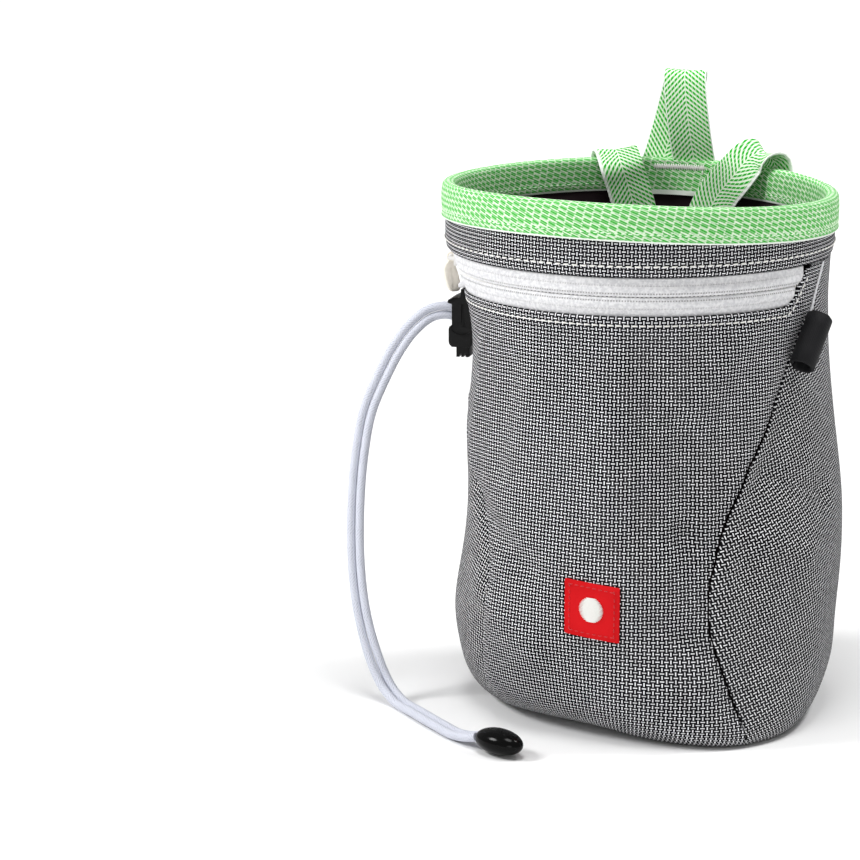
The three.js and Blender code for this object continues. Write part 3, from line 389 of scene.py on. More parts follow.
front_cloth = bag_cloth("front_cloth", 0)
side_cloth = bag_cloth("side_cloth", 17, white=(0.95, 0.95, 0.97, 1))
left_side_cloth = bag_cloth("left_side_cloth", -17, white=(0.95, 0.95, 0.97, 1))
print("Cloth finishes:", front_cloth.name, side_cloth.name, left_side_cloth.name)

# %% [markdown]
# The rim's binding is a twill tape: bright green dashes on a pale ground, each a little lower than
# the last, and each made of two or three fine slanting threads. A slanting grid gives the dashes, and
# a fine ripple breaks them into threads. Its edges are white selvedges.

# %% The rim's binding
GREEN = (0.015, 0.43, 0.015, 1)
PALE_GREEN = (0.82, 0.95, 0.75, 1)
SELVEDGE = (0.90, 0.95, 0.88, 1)
DASH_STEP, ROW_STEP = 2.9, 1.8       # millimetres along and across the tape
TWILL_STEP = 0.72
TWILL_SLANT = 22                      # degrees


def binding_tape():
    pattern = Pattern("binding_tape")
    along, across = pattern.map_parts()
    row = pattern.times(across, 1 / ROW_STEP)
    shift = pattern.times(pattern.math("FLOOR", row), 0.12)
    column = pattern.add(pattern.times(along, 1 / DASH_STEP), shift)
    from_dash = pattern.times(pattern.less(pattern.math("FRACT", column), 0.5), DASH_STEP)
    from_row = pattern.times(pattern.less(pattern.math("FRACT", row), 0.5), ROW_STEP)
    cosine, sine = math.cos(math.radians(TWILL_SLANT)), math.sin(math.radians(TWILL_SLANT))
    lengthways = pattern.add(pattern.times(from_dash, cosine), pattern.times(from_row, sine))
    beside = pattern.less(pattern.times(from_row, cosine), pattern.times(from_dash, sine))
    dash = pattern.times(
        pattern.step(pattern.math("ABSOLUTE", lengthways), 1.5, 0.95),
        pattern.step(pattern.math("ABSOLUTE", beside), 0.68, 0.46))
    twill = pattern.times(
        pattern.less(pattern.times(across, cosine), pattern.times(along, sine)), 1 / TWILL_STEP)
    thread = pattern.off_centre(twill)
    fibre = pattern.off_centre(pattern.times(along, 1 / 0.6))
    gap = pattern.step(thread, 0.12, 0.4)
    yarn = pattern.chance(pattern.math("FLOOR", twill), pattern.math(
        "FLOOR", pattern.times(along, 1 / 1.7)))
    green_share = pattern.add(
        pattern.times(dash, pattern.less(1, pattern.times(gap, 0.3))),
        pattern.times(pattern.less(1, dash), pattern.times(
            pattern.less(1, gap), pattern.add(0.15, pattern.times(yarn, 0.75)))))
    edge = pattern.step(pattern.math("ABSOLUTE", across), 13.5, 13.9)
    body = pattern.colour(green_share, PALE_GREEN, GREEN)
    colour = pattern.colour(edge, body, SELVEDGE)
    height = pattern.add(pattern.times(pattern.less(0.5, thread), 1.0), pattern.times(fibre, 0.35))
    pattern.bump(height, 0.16 * MM, 0.6)
    return pattern.finish(colour, Roughness=0.7, Specular_IOR_Level=0.1)


binding_finish = binding_tape()

# %% [markdown]
# The belt and the hang loop are herringbone webbing: slanting ribs that meet in a V down the middle,
# between white selvedges. Taking the distance from the middle line turns one slant into two.

# %% The herringbone webbing
def herringbone(name, selvedge_from, both_edges=True):
    """both_edges=False leaves the selvedge on one side green."""
    pattern = Pattern(name)
    along, across = pattern.map_parts()
    from_axis = pattern.math("ABSOLUTE", across)
    rib = pattern.less(pattern.times(along, 1 / 1.75), pattern.times(from_axis, 1 / 1.9))
    from_rib = pattern.off_centre(rib)
    block = pattern.off_centre(pattern.times(across, 1 / 1.25))
    green_share = pattern.times(
        pattern.step(from_rib, 0.34, 0.2), pattern.add(0.4, pattern.times(
            pattern.step(block, 0.46, 0.3), 0.6)))
    vee = pattern.step(from_axis, 0.3, 0.1)
    body = pattern.colour(
        pattern.times(green_share, pattern.less(1, pattern.times(vee, 0.7))), PALE_GREEN, GREEN)
    edge = pattern.step(from_axis if both_edges else across, selvedge_from, selvedge_from + 0.25)
    colour = pattern.colour(edge, body, SELVEDGE)
    height = pattern.add(pattern.less(0.5, from_rib), pattern.times(block, 0.4))
    pattern.bump(height, 0.2 * MM, 0.7)
    return pattern.finish(colour, Roughness=0.7, Specular_IOR_Level=0.1)


belt_finish = herringbone("belt_webbing_finish", 6.45, both_edges=False)
loop_finish = herringbone("hang_loop_webbing_finish", 7.05)

# %% [markdown]
# Plain cloths and tapes share one recipe: two sets of fine threads crossing, a base colour that
# varies a little, and a bump. The lining is a very dark maroon, and the floor of the bag black.

# %% Plain cloths and tapes
def plain_cloth(name, colour, thread_step, depth, roughness=0.8, sheen=0.0, rib=False, lift=0.25):
    """A fine plain weave, or with rib=True threads that show in one direction only."""
    pattern = Pattern(name)
    along, across = pattern.map_parts()
    first = pattern.off_centre(pattern.times(along, 1 / thread_step))
    second = pattern.off_centre(pattern.times(across, 1 / thread_step))
    height = first if rib else pattern.times(pattern.less(0.6, first), pattern.less(0.6, second))
    patchy = pattern.step(pattern.cloud(35, 3), 0.3, 0.75)
    light = tuple(min(part * (1 + lift) + 0.004, 1) for part in colour[:3]) + (1,)
    pattern.bump(height, depth, 0.8)
    return pattern.finish(
        pattern.colour(patchy, colour, light), Roughness=roughness, Sheen_Weight=sheen,
        Sheen_Roughness=0.5, Specular_IOR_Level=0.15)


lining_finish = plain_cloth("lining_finish", (0.011, 0.005, 0.007, 1), 0.7, 0.1 * MM, 0.9, 0.05)
base_finish = plain_cloth("base_finish", (0.018, 0.018, 0.02, 1), 0.9, 0.15 * MM)
label_finish = plain_cloth("label_finish", (0.53, 0.002, 0.005, 1), 0.5, 0.1 * MM, 0.8)
grosgrain_finish = plain_cloth(
    "grosgrain_finish", (0.005, 0.005, 0.006, 1), 0.62, 0.2 * MM, 0.6, 0.01, rib=True)
strap_finish = plain_cloth("strap_finish", (0.78, 0.78, 0.8, 1), 0.6, 0.12 * MM, lift=0.05)


# %% [markdown]
# Thread, moulded plastic and painted metal need no map. Thread is dull, with a fine grain. The black
# plastic of the lock and the bead is glossy with a faint moulded grain, and the pull's pale plastic
# is duller.

# %% Thread, plastic and metal
def solid_finish(name, colour, roughness, grain=900, depth=0.01, sheen=0.0, coat=0.0, gloss=0.3):
    pattern = Pattern(name)
    speckle = pattern.cloud(grain, 2)
    light = tuple(min(part * 1.1 + 0.002, 1) for part in colour[:3]) + (1,)
    pattern.bump(speckle, depth * MM, 0.5)
    return pattern.finish(
        pattern.colour(speckle, colour, light), Roughness=roughness, Sheen_Weight=sheen,
        Coat_Weight=coat, Coat_Roughness=0.08, Specular_IOR_Level=gloss)


thread_finish = solid_finish("thread_finish", (0.78, 0.77, 0.74, 1), 0.6, 2500, 0.05)
rim_thread = solid_finish("rim_thread_finish", (0.74, 0.90, 0.69, 1), 0.6, 2500, 0.05)
black_finish = solid_finish(
    "black_plastic_finish", (0.004, 0.004, 0.004, 1), 0.32, 1400, 0.02, gloss=0.12)
bead_finish = solid_finish("bead_finish", (0.002, 0.002, 0.002, 1), 0.14, 500, 0.008, gloss=0.1)
pull_finish = solid_finish("pull_plastic_finish", (0.84, 0.79, 0.70, 1), 0.42, 900, 0.02)
slider_finish = solid_finish("slider_finish", (0.72, 0.71, 0.69, 1), 0.3, 900, 0.01, coat=0.3)


def braid_finish():
    """Pale braid, with painted shade down between its yarns. The cord's mesh carries each point's yarn
    height.
    """
    pattern = Pattern("cord_finish")
    lift = pattern.node("ShaderNodeAttribute", attribute_name="yarn_lift").outputs["Fac"]
    pattern.bump(pattern.cloud(2600, 2), 0.05 * MM, 0.6)
    # Low places between the yarns get a darker colour: painted shade in the grooves. The raised yarns
    # keep the pale colour.
    return pattern.finish(
        pattern.colour(pattern.step(lift, 0.0, 0.75), (0.34, 0.36, 0.43, 1), (0.64, 0.66, 0.74, 1)),
        Roughness=0.6, Sheen_Weight=0.1, Specular_IOR_Level=0.2)


cord_finish = braid_finish()
print(len(bpy.data.materials), "finishes so far")

# %% [markdown]
# # Stage
# The bag stands on a wide white floor. A soft light on the left models the cloth, another stands
# behind on the right, one hangs above, and a weak one at the front fills in. Even light from all round
# keeps the shadow faint. Far from the bag the floor glows by itself, so that it ends in plain white.

# %% Floor and light
FLOOR_SIZE = 30.0
FLOOR_DROP = 0.15 * MM
GLOW_NEAR, GLOW_FAR = 0.0, 0.75
GLOW_START, GLOW_END = 0.3, 1.5          # metres from the bag


def add_floor():
    bpy.ops.mesh.primitive_plane_add(size=FLOOR_SIZE, location=(0, 0, -FLOOR_DROP))
    floor = settle(bpy.context.object)
    floor.name = "studio_floor"
    pattern = Pattern("floor_finish")
    away = pattern.node("ShaderNodeVectorMath", operation="LENGTH")
    pattern.link(pattern.place(), away.inputs[0])
    far = pattern.step(away.outputs["Value"], GLOW_START, GLOW_END)
    floor.data.materials.append(pattern.finish(
        (0.9, 0.9, 0.9, 1), Roughness=0.9, Specular_IOR_Level=0.0,
        Emission_Color=(1, 1, 1, 1), Emission_Strength=pattern.mix(far, GLOW_NEAR, GLOW_FAR)))


def add_light(name, angle, height, distance, size, watts):
    place = polar(angle, distance, height)
    bpy.ops.object.light_add(type="AREA", location=place)
    light = bpy.context.object
    light.name = name
    light.data.shape = "DISK"
    light.data.size = size
    light.data.energy = watts
    aim = Vector((0, 0, 0.09)) - place
    light.rotation_euler = aim.to_track_quat("-Z", "Y").to_euler()


def add_surroundings(strength):
    world = bpy.data.worlds.new("studio_white")
    world.use_nodes = True
    world.node_tree.nodes["Background"].inputs[0].default_value = (1, 1, 1, 1)
    world.node_tree.nodes["Background"].inputs[1].default_value = strength
    bpy.context.scene.world = world


add_floor()
add_light("large_soft_light", -64, 0.95, 1.15, 0.45, 12.5)
add_light("back_right_light", 125, 1.7, 0.9, 0.4, 15)
add_light("top_light", 0, 1.5, 0.25, 0.6, 9)
add_light("front_fill", 10, 0.3, 1.4, 0.6, 2.4)
add_surroundings(0.32)
bpy.context.scene.view_settings.view_transform = "Standard"
print("Stage set")

# %% [markdown]
# # The draw cord
# Two strands of thin braided cord leave the lock, hang in a loose curve, run along the floor and end
# in one bead. The cord is a soft thing of a fixed length, so its route was settled with the solids,
# and the same points are repeated here. A smooth line is drawn through them.

# %% The cord's route
CORD_ROUTE = [Vector(point) * MM for point in (
    (-63.5, -6.6, 128.6), (-67.2, -7.6, 129), (-72, -9.4, 127.6), (-77.3, -13.2, 122.4),
    (-81.4, -15.8, 115.8), (-84.4, -18.5, 108.9), (-88.9, -23, 95.5), (-90.4, -26.5, 82.1),
    (-90.4, -30.7, 65.5), (-88.6, -35.4, 45.6), (-85, -39.6, 29.6), (-79.6, -42.8, 15.2),
    (-74.2, -45.4, 6.2), (-67.6, -49.8, 1.9), (-57, -59.8, 1.8), (-45.2, -70.6, 1.8),
    (-36, -78.2, 1.8), (-28.6, -82.9, 3.2), (-26, -84.1, 4.1),
)]
CORD_DIAMETER = 3 * MM
CORD_SPACING = 3.08 * MM
LOCK_ANGLE = -84


def smooth_line(points, steps):
    """A line that passes through every point without overshooting, with steps places to each."""
    ends = [points[0] * 2 - points[1], *points, points[-1] * 2 - points[-2]]
    line = []
    for before, start, end, after in zip(ends, ends[1:], ends[2:], ends[3:]):
        first, middle, last = ((b - a).length ** 0.5 + 1e-6 for a, b in (
            (before, start), (start, end), (end, after)))
        leave = ((start - before) / first - (end - before) / (first + middle)
                 + (end - start) / middle) * middle
        reach = ((end - start) / middle - (after - start) / (middle + last)
                 + (after - end) / last) * middle
        for step in range(steps):
            t = step / steps
            line.append(
                start * (2 * t ** 3 - 3 * t ** 2 + 1) + leave * (t ** 3 - 2 * t ** 2 + t)
                + end * (3 * t ** 2 - 2 * t ** 3) + reach * (t ** 3 - t ** 2))
    return line + [points[-1].copy()]


def evenly(line, gap):
    """The same line with its points an even gap apart."""
    lengths = [0.0]
    for a, b in zip(line, line[1:]):
        lengths.append(lengths[-1] + (b - a).length)
    count = max(round(lengths[-1] / gap), 2)
    spaced, k = [], 0
    for step in range(count + 1):
        target = lengths[-1] * step / count
        while k < len(line) - 2 and lengths[k + 1] < target:
            k += 1
        share = (target - lengths[k]) / max(lengths[k + 1] - lengths[k], 1e-9)
        spaced.append(line[k].lerp(line[k + 1], min(share, 1)))
    return spaced


def line_length(line):
    return sum((b - a).length for a, b in zip(line, line[1:]))


cord_middle = evenly(smooth_line(CORD_ROUTE, 12), 1 * MM)
print("The cord's middle line is", round(line_length(cord_middle) / MM), "mm long")

# %% [markdown]
# Each strand keeps to its side of the middle line: one over the other where they leave the lock, and
# side by side on the floor. The tube is swept in code, because a round cord has no good primitive. A
# frame is carried along the line without twisting, and the braid's yarns are raised on the tube as a
# checkerboard of two crossing spirals.

# %% Braided strands
CORD_SIDES = 32
BRAID_YARNS = 8
BRAID_LAY = 9 * MM            # length over which a yarn goes once round
BRAID_DEPTH = 0.07


def strand_line(side):
    line = []
    for k, point in enumerate(cord_middle):
        share = k / (len(cord_middle) - 1)
        along = cord_middle[min(k + 1, len(cord_middle) - 1)] - cord_middle[max(k - 1, 0)]
        guide = (-sideways(LOCK_ANGLE)).lerp(-UP, smooth(0.5, 0.8, share))
        offset = along.cross(guide).normalized()
        line.append(point + offset * side * CORD_SPACING / 2)
    return line


def yarn_height(turn, length):
    """Height of the braid's surface from 0 to 1, from two crossing sets of yarns."""
    first = BRAID_YARNS * (turn / math.tau + length / BRAID_LAY)
    second = BRAID_YARNS * (turn / math.tau - length / BRAID_LAY)
    on_top = first if (math.floor(first) + math.floor(second)) % 2 == 0 else second
    return 1 - (2 * (on_top % 1) - 1) ** 2


def swept_tube(name, line, radius_at, sides):
    """A closed tube round a line. radius_at gives its radius by turn and length."""
    mesh = bmesh.new()
    across = (line[1] - line[0]).orthogonal().normalized()
    rings, length = [], 0.0
    for k, point in enumerate(line):
        along = (line[min(k + 1, len(line) - 1)] - line[max(k - 1, 0)]).normalized()
        across = (across - along * across.dot(along)).normalized()
        other = along.cross(across)
        length += (point - line[k - 1]).length if k else 0
        rings.append([mesh.verts.new(point + (
            across * math.cos(turn) + other * math.sin(turn)) * radius_at(turn, length))
            for turn in (math.tau * n / sides for n in range(sides))])
    for ring, after in zip(rings, rings[1:]):
        for n in range(sides):
            mesh.faces.new((ring[n], ring[(n + 1) % sides], after[(n + 1) % sides], after[n]))
    mesh.faces.new(rings[0][::-1])
    mesh.faces.new(rings[-1])
    return object_of(mesh, name)


def braided_strand(name, side):
    line = evenly(strand_line(side), 0.36 * MM)
    radius = CORD_DIAMETER / 2
    piece = swept_tube(name, line, lambda turn, length: radius * (
        1 - BRAID_DEPTH * (1 - yarn_height(turn, length))), CORD_SIDES)
    step = line_length(line) / (len(line) - 1)
    # The yarn height also steers the painted shade that the cord finish puts between the yarns.
    lift = piece.data.attributes.new("yarn_lift", "FLOAT", "POINT")
    lift.data.foreach_set("value", [
        yarn_height(math.tau * (n % CORD_SIDES) / CORD_SIDES, n // CORD_SIDES * step)
        for n in range(len(piece.data.vertices))])
    piece.data.materials.append(cord_finish)
    return smooth_shaded(piece, 60), line


upper_strand, upper_line = braided_strand("cord_strand_a", -1)
lower_strand, lower_line = braided_strand("cord_strand_b", 1)
print("Strands:", [round(line_length(line) / MM, 1) for line in (upper_line, lower_line)], "mm")

# %% [markdown]
# The bead is a glossy oval. It starts as a sphere, drawn out to the size that the solid has and
# turned along the cord. The faces round the pole that meets the cord are pushed in to make its mouth.

# %% The bead on the cord's end
BEAD_LONG, BEAD_WIDE, BEAD_TALL = 19 * MM, 11 * MM, 8.4 * MM


def cord_bead():
    low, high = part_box("cord_end")
    heading = (cord_middle[-1] - cord_middle[-4]) * Vector((1, 1, 0))
    bpy.ops.mesh.primitive_uv_sphere_add(
        segments=40, ring_count=28, radius=0.5, rotation=(0, math.pi / 2, 0))
    bead = bpy.context.object
    bead.name = "cord_bead"
    bpy.ops.object.transform_apply(rotation=True)
    for vertex in bead.data.vertices:
        mouth = smooth(-0.46, -0.5, vertex.co.x) * bell(vertex.co.z, 0.25) * 0.12
        vertex.co.x += mouth
        vertex.co = Vector((vertex.co.x * BEAD_LONG, vertex.co.y * BEAD_WIDE, vertex.co.z * BEAD_TALL))
    bead.rotation_euler = (0, 0, math.atan2(heading.y, heading.x))
    bead.location = (low + high) / 2 - heading.normalized() * 0.5 * MM
    bead.data.materials.append(bead_finish)
    return smooth_shaded(settle(bead), 60)


bead = cord_bead()
hand_over(bead, "black_plastic", "cord_end")
for strand, line, node in (
        (upper_strand, upper_line, "draw_cord_a"), (lower_strand, lower_line, "draw_cord_b")):
    hand_over(strand, "cord", node)
    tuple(line[0])
    line_length(line)
print("Bead of", [round(side / MM, 1) for side in bead.dimensions], "mm")

# %% [markdown]
# # The sack
# The body is four panels: the pocket's front, a gusset at each side and the back. Their seams are
# read from the solids: a gusset's rows are level, so the least or greatest angle in each row is a
# seam.

# %% Seams read from the solids
GUSSET_COLUMNS = 9


def seam_line(node, side):
    rows = {}
    for vertex in solids[node].data.vertices:
        rows.setdefault(round(vertex.co.z, 5), set()).add(round(angle_of(vertex.co), 1))
    return [(height, side(angles)) for height, angles in sorted(rows.items())
            if len(angles) >= GUSSET_COLUMNS]


def at_height(line, height):
    """The value of a line of (height, value) at a height."""
    for (low, start), (high, end) in zip(line, line[1:]):
        if height <= high:
            share = min(max((height - low) / (high - low), 0), 1)
            return start + (end - start) * share
    return line[-1][1]


right_seam = seam_line("gusset_right", min)
left_seam = seam_line("gusset_left", max)
BACK_SEAMS = (118, -118)
print("Seams have", len(right_seam), "and", len(left_seam), "rows")

# %% [markdown]
# Real cloth is never as even as a lofted solid. One field of small moves, by angle and height,
# shapes all the panels alike, so their seams stay matched: broad soft dents, long folds that follow a
# line, a slow wander, and short puckers that run out from the seams. Only along the two front seams
# does one panel stand over the other. The field fades out at the band and at the floor, where other
# pieces are sewn on.

# %% Folds of the cloth
SOFT_DENTS = (
    # angle, height, width in degrees, height in mm, outwards in mm
    (-22, 112, 13, 26, 0.9), (-4, 96, 12, 34, -0.9), (22, 118, 10, 20, 0.7), (14, 70, 14, 24, 0.6),
    (-24, 62, 9, 26, 0.8), (34, 42, 9, 16, 0.8), (-8, 24, 12, 10, -0.7), (62, 96, 9, 22, -1.0),
    (70, 58, 12, 26, 0.9), (96, 104, 10, 30, 0.9), (88, 28, 12, 14, -0.8), (112, 66, 9, 30, -0.9),
    (150, 60, 12, 40, 1.0), (172, 92, 10, 26, -1.0), (-160, 46, 12, 30, 1.0), (-135, 88, 10, 30, -1.0),
    (-100, 60, 10, 26, 0.9), (-82, 96, 9, 18, -0.8), (-60, 40, 8, 22, 0.7),
)
LONG_FOLDS = (
    # from angle, height, to angle, height, width in mm, outwards in mm
    (29, 104, 31, 70, 5.5, -2.5), (31, 70, 32, 40, 5, -2.3), (56, 87, 80, 77, 4.5, -2.4),
    (58, 104, 46, 84, 4, 1.2), (46, 84, 42, 60, 4, 1.5), (42, 60, 43, 32, 4, 1.3),
    (52, 67, 68, 60, 6, 1.8), (23, 44, 34, 37, 4.5, -1.9), (12, 16, 38, 23, 6, 1.5),
    (-46, 76, -15, 57, 6, -2.2), (-36, 44, -14, 30, 7, 1.8), (20, 130, 20, 72, 5.5, -1.9),
    (9, 122, 8, 84, 7, 1.2), (50, 134, 34, 112, 6, 1.7), (-40, 124, -46, 84, 5.5, 1.6),
    (-24, 120, -28, 88, 6, -1.6), (130, 60, 165, 84, 7, -1.8), (-165, 110, -130, 80, 7, -1.7),
    (140, 28, 175, 20, 7, 1.4), (-92, 58, -108, 38, 5.5, -1.8), (160, 112, 172, 70, 7, 1.3),
)
SEAM_LIP, LIP_WIDE = 0.55, 4.5         # mm that a panel stands over its neighbour, and over what width
BODY_RADIUS = 64 * MM
WANDER = 0.66                          # mm
PUCKER_REACH, PUCKER_DEEP = 6, 0.22    # mm from a seam, and mm out
PUCKER_STEP = 6.5 * MM


def long_fold(angle, height, fold):
    """The move of one fold: a soft ridge or valley along a straight line on the unrolled cloth."""
    start_angle, start_height, end_angle, end_height, wide, deep = fold
    arc = math.pi / 180 * BODY_RADIUS / MM
    start = Vector((start_angle * arc, start_height))
    run = Vector((end_angle * arc, end_height)) - start
    middle = (start_angle + end_angle) / 2
    point = Vector((turned(angle, middle) * arc, height / MM)) - start
    share = min(max(point.dot(run) / run.length_squared, 0), 1)
    return deep * bell((point - run * share).length, wide)


def along_cloth(angle, seam):
    """Millimetres round the bag from a seam to an angle."""
    return (turned(angle, seam) - seam) * math.pi / 180 * BODY_RADIUS / MM


def seam_lip(angle, height, middle):
    """The gusset at the right and the front panel at the left stand a little over the other."""
    lip = 0.0
    for seam in (at_height(right_seam, height), at_height(left_seam, height)):
        side = 1 if turned(middle, seam) > seam else -1
        lip += side * SEAM_LIP * bell(along_cloth(angle, seam), LIP_WIDE)
    return lip * (0.4 + 0.6 * smooth(118, 96, height / MM))


def fold_out(angle, height, panel_middle):
    """How far the cloth stands out from the solid at an angle and height, in metres."""
    out = sum(long_fold(angle, height, fold) for fold in LONG_FOLDS)
    out += seam_lip(angle, height, panel_middle)
    out += sum(
        deep * bell(turned(angle, at) - at, wide) * bell(height / MM - level, tall)
        for at, level, wide, tall, deep in SOFT_DENTS)
    out += WANDER * noise.noise(polar(angle, 1.6, height * 26))
    seams = (at_height(right_seam, height), at_height(left_seam, height), *BACK_SEAMS)
    for number, seam in enumerate(seams):
        wave = math.sin(height / PUCKER_STEP * math.tau + number + 2 * noise.noise(
            Vector((number, 0, height * 60))))
        out += PUCKER_DEEP * wave * bell(along_cloth(angle, seam), PUCKER_REACH)
    fade = smooth(3, 14, height / MM) * smooth(141, 133, height / MM)
    return out * fade * MM


def side_tuck(angle, height):
    """How far the cloth draws in under the band at the left end of the zip, in metres."""
    level = smooth(112, 132, height / MM) * smooth(153.4, 147, height / MM)
    return -1.9 * MM * level * bell(turned(angle, -71) + 71, 9)


def add_folds(piece, middle):
    """Moves a panel's points out from the axis by the folds. middle is an angle on the panel."""
    for vertex in piece.data.vertices:
        angle = turned(angle_of(vertex.co), middle)
        out = fold_out(angle, vertex.co.z, middle) + side_tuck(angle, vertex.co.z)
        vertex.co += outward(angle) * out


# %% [markdown]
# The cloth's map runs round the bag and up it in millimetres. Where the panels curl under at the
# floor, height grows slower than the cloth does, so the map follows a quarter circle there.

# %% Maps in millimetres
CURL = 18 * MM


def cloth_height(height):
    if height >= CURL:
        return height
    return CURL - CURL * math.asin(min((CURL - height) / CURL, 1))


def set_map(piece, place):
    """Gives each corner of each face its place on the map. place takes a point and a face's middle."""
    layer = piece.data.uv_layers.get("UVMap") or piece.data.uv_layers.new(name="UVMap")
    for face in piece.data.polygons:
        for corner in face.loop_indices:
            point = piece.data.vertices[piece.data.loops[corner].vertex_index].co
            layer.data[corner].uv = place(point, face.center)


def dressed(piece, finish, place=None, degrees=40):
    """Gives a piece its map, its finish and its smooth shading."""
    if place is not None:
        set_map(piece, place)
    piece.data.materials.append(finish)
    return smooth_shaded(piece, degrees)


def round_map(radius):
    def place(point, middle):
        angle = turned(angle_of(point), angle_of(middle))
        return (math.radians(angle) * radius / MM, cloth_height(point.z) / MM)
    return place


# %% [markdown]
# A panel is the clean copy of its solid, subdivided and folded. The front panel first gets extra
# edge loops under its top edge, by cutting it along level planes, so that its hem can stand a little
# proud and dip where the stitches pull it in.

# %% Front, gussets and back
HEM_CUTS = (1.1, 2.2, 2.9, 3.7, 4.8)
HEM_TALL = 4.6
HEM_OUT = 0.45 * MM
STITCH_DIP = 0.35 * MM
STITCH_LINE = 2.9


def hem_out(below):
    """How far a hem stands out, by the distance in mm from its folded edge."""
    lift = HEM_OUT * smooth(HEM_TALL, HEM_TALL - 1, below) * smooth(-0.2, 0.9, below)
    return lift - STITCH_DIP * bell(below - STITCH_LINE, 0.7)


POCKET_EDGE = 141.0 * MM
BAND_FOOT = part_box("top_band")[0].z
ZIP_ENDS = (-105, 78)
ZIP_TURN = 13


def pocket_edge(angle):
    """Height of the pocket's folded edge: level, and turned up round the zip's ends."""
    left, right = ZIP_ENDS
    up = max(smooth(right - ZIP_TURN, right, angle), smooth(left + ZIP_TURN, left, angle))
    return POCKET_EDGE + (BAND_FOOT - 0.3 * MM - POCKET_EDGE) * up


def body_panel(node, name, finish, middle, cuts=()):
    piece = soft_copy(node, name, cuts)
    add_folds(piece, middle)
    return hand_over(dressed(piece, finish, round_map(BODY_RADIUS)), "body_fabric", node)


front = body_panel("front_panel", "pocket_front", front_cloth, 0,
                   [POCKET_EDGE - cut * MM for cut in HEM_CUTS])
for vertex in front.data.vertices:
    angle = angle_of(vertex.co)
    vertex.co += outward(angle) * hem_out((pocket_edge(angle) - vertex.co.z) / MM)
right_gusset = body_panel("gusset_right", "right_gusset", side_cloth, 80)
left_gusset = body_panel("gusset_left", "left_gusset", left_side_cloth, -75)
back = body_panel("back_panel", "back", front_cloth, 180)
print("Panels:", [len(panel.data.polygons) for panel in (front, right_gusset, left_gusset, back)])

# %% [markdown]
# The floor is a stiffer black cloth, sewn in flush with the folded feet of the panels.

# %% The sack's floor
sack_floor = dressed(
    soft_copy("base_panel", "sack_floor"), base_finish,
    lambda point, middle: (point.x / MM, point.y / MM))
hand_over(sack_floor, "base_fabric", "base_panel")

# %% [markdown]
# The top band is a ring of the same cloth. Its lower edge is folded under and topstitched, so it
# gets the same hem as the pocket, upside down, from level cuts near that edge.

# %% Top band
BAND_RADIUS = 65 * MM


def band():
    piece = soft_copy("top_band", "top_band_cloth", [BAND_FOOT + cut * MM for cut in HEM_CUTS])
    for vertex in piece.data.vertices:
        angle = angle_of(vertex.co)
        ripple = 0.25 * MM * noise.noise(polar(angle, 4.5, vertex.co.z * 40))
        low = smooth(161, 158, vertex.co.z / MM)
        vertex.co += outward(angle) * (hem_out((vertex.co.z - BAND_FOOT) / MM) + ripple) * low
    return dressed(piece, front_cloth, round_map(BAND_RADIUS))


top_band = hand_over(band(), "body_fabric", "top_band")

# %% [markdown]
# The binding is one tape folded over the rim. Its map runs across the tape from one selvedge to the
# other: out along the fold by radius, and down each leg by height. Thread tension makes a real
# binding swell and dip a little between stitches, so its legs get a low ripple.

# %% Rim binding
RIM_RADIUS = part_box("rim_binding")[1].x
RIM_MEAN, RIM_TILT, RIM_SADDLE, RIM_CREST = 175.6 * MM, 1.5 * MM, 1 * MM, -50
RIM_HALF = 2.45 * MM
BINDING_LEG = 12 * MM
RIM_STITCHES = 9.4 * MM       # how far the binding's stitches lie under the rim's fold


def rim_top(angle):
    return RIM_MEAN + RIM_TILT * math.cos(math.radians(angle - RIM_CREST)) + RIM_SADDLE * math.cos(
        math.radians(2 * angle))


def binding_map(point, middle):
    angle = turned(angle_of(point), angle_of(middle))
    radius = math.hypot(point.x, point.y)
    side = max(min(radius - (RIM_RADIUS - RIM_HALF), RIM_HALF), -RIM_HALF)
    leg = math.copysign(rim_top(angle) - point.z, side) if abs(side) > 1 * MM else 0
    return (math.radians(angle) * RIM_RADIUS / MM, (side + leg) / MM)


def binding():
    piece = soft_copy("rim_binding", "rim_binding_tape", degrees=60, crease=0.75)
    for vertex in piece.data.vertices:
        angle = angle_of(vertex.co)
        down = rim_top(angle) - vertex.co.z
        ripple = 0.16 * MM * noise.noise(polar(angle, 7, vertex.co.z * 60))
        pull = 0.22 * MM * bell((down - RIM_STITCHES) / MM, 1.2)
        side = 1 if math.hypot(vertex.co.x, vertex.co.y) > RIM_RADIUS - RIM_HALF else -1
        vertex.co += outward(angle) * side * (ripple - pull) * smooth(0.5, 3, down / MM)
    return dressed(piece, binding_finish, binding_map)


rim_tape = hand_over(binding(), "binding_webbing", "rim_binding")
print("Rim of", round(RIM_RADIUS / MM * 2), "mm outside")

# %% [markdown]
# The lining is a soft inner sack. Under the rim it gathers into shallow upright puckers, which are
# deeper at the back, where the belt's ends press it.

# %% Lining
LINING_RADIUS = 60 * MM


def lining_gather(angle, height):
    wave = math.sin(math.radians(angle) * 21 + 2.2 * noise.noise(polar(angle, 2, height * 30)))
    strength = 0.55 + 0.5 * bell(turned(angle, 150) - 150, 12)
    clear_of_belt = 1 - bell(turned(angle, -176) - (-176), 22)
    upper = smooth(60, 120, height / MM) * smooth(164, 156, height / MM)
    return (wave - 1) * strength * clear_of_belt * upper * MM


def lining():
    piece = soft_copy("lining", "inner_sack", degrees=70)
    for vertex in piece.data.vertices:
        if vertex.co.z > 40 * MM:
            angle = angle_of(vertex.co)
            vertex.co += outward(angle) * lining_gather(angle, vertex.co.z)
    return dressed(piece, lining_finish, round_map(LINING_RADIUS))


hand_over(lining(), "lining_fabric", "lining")

# %% [markdown]
# # Sewing
# Stitches are what make cloth read as sewn. One stitch is modelled: a low sphere drawn out to a bean
# whose ends dive into the cloth. It is then copied along a row of places, each copy lying on the
# piece's real surface, and a row is joined into one mesh.

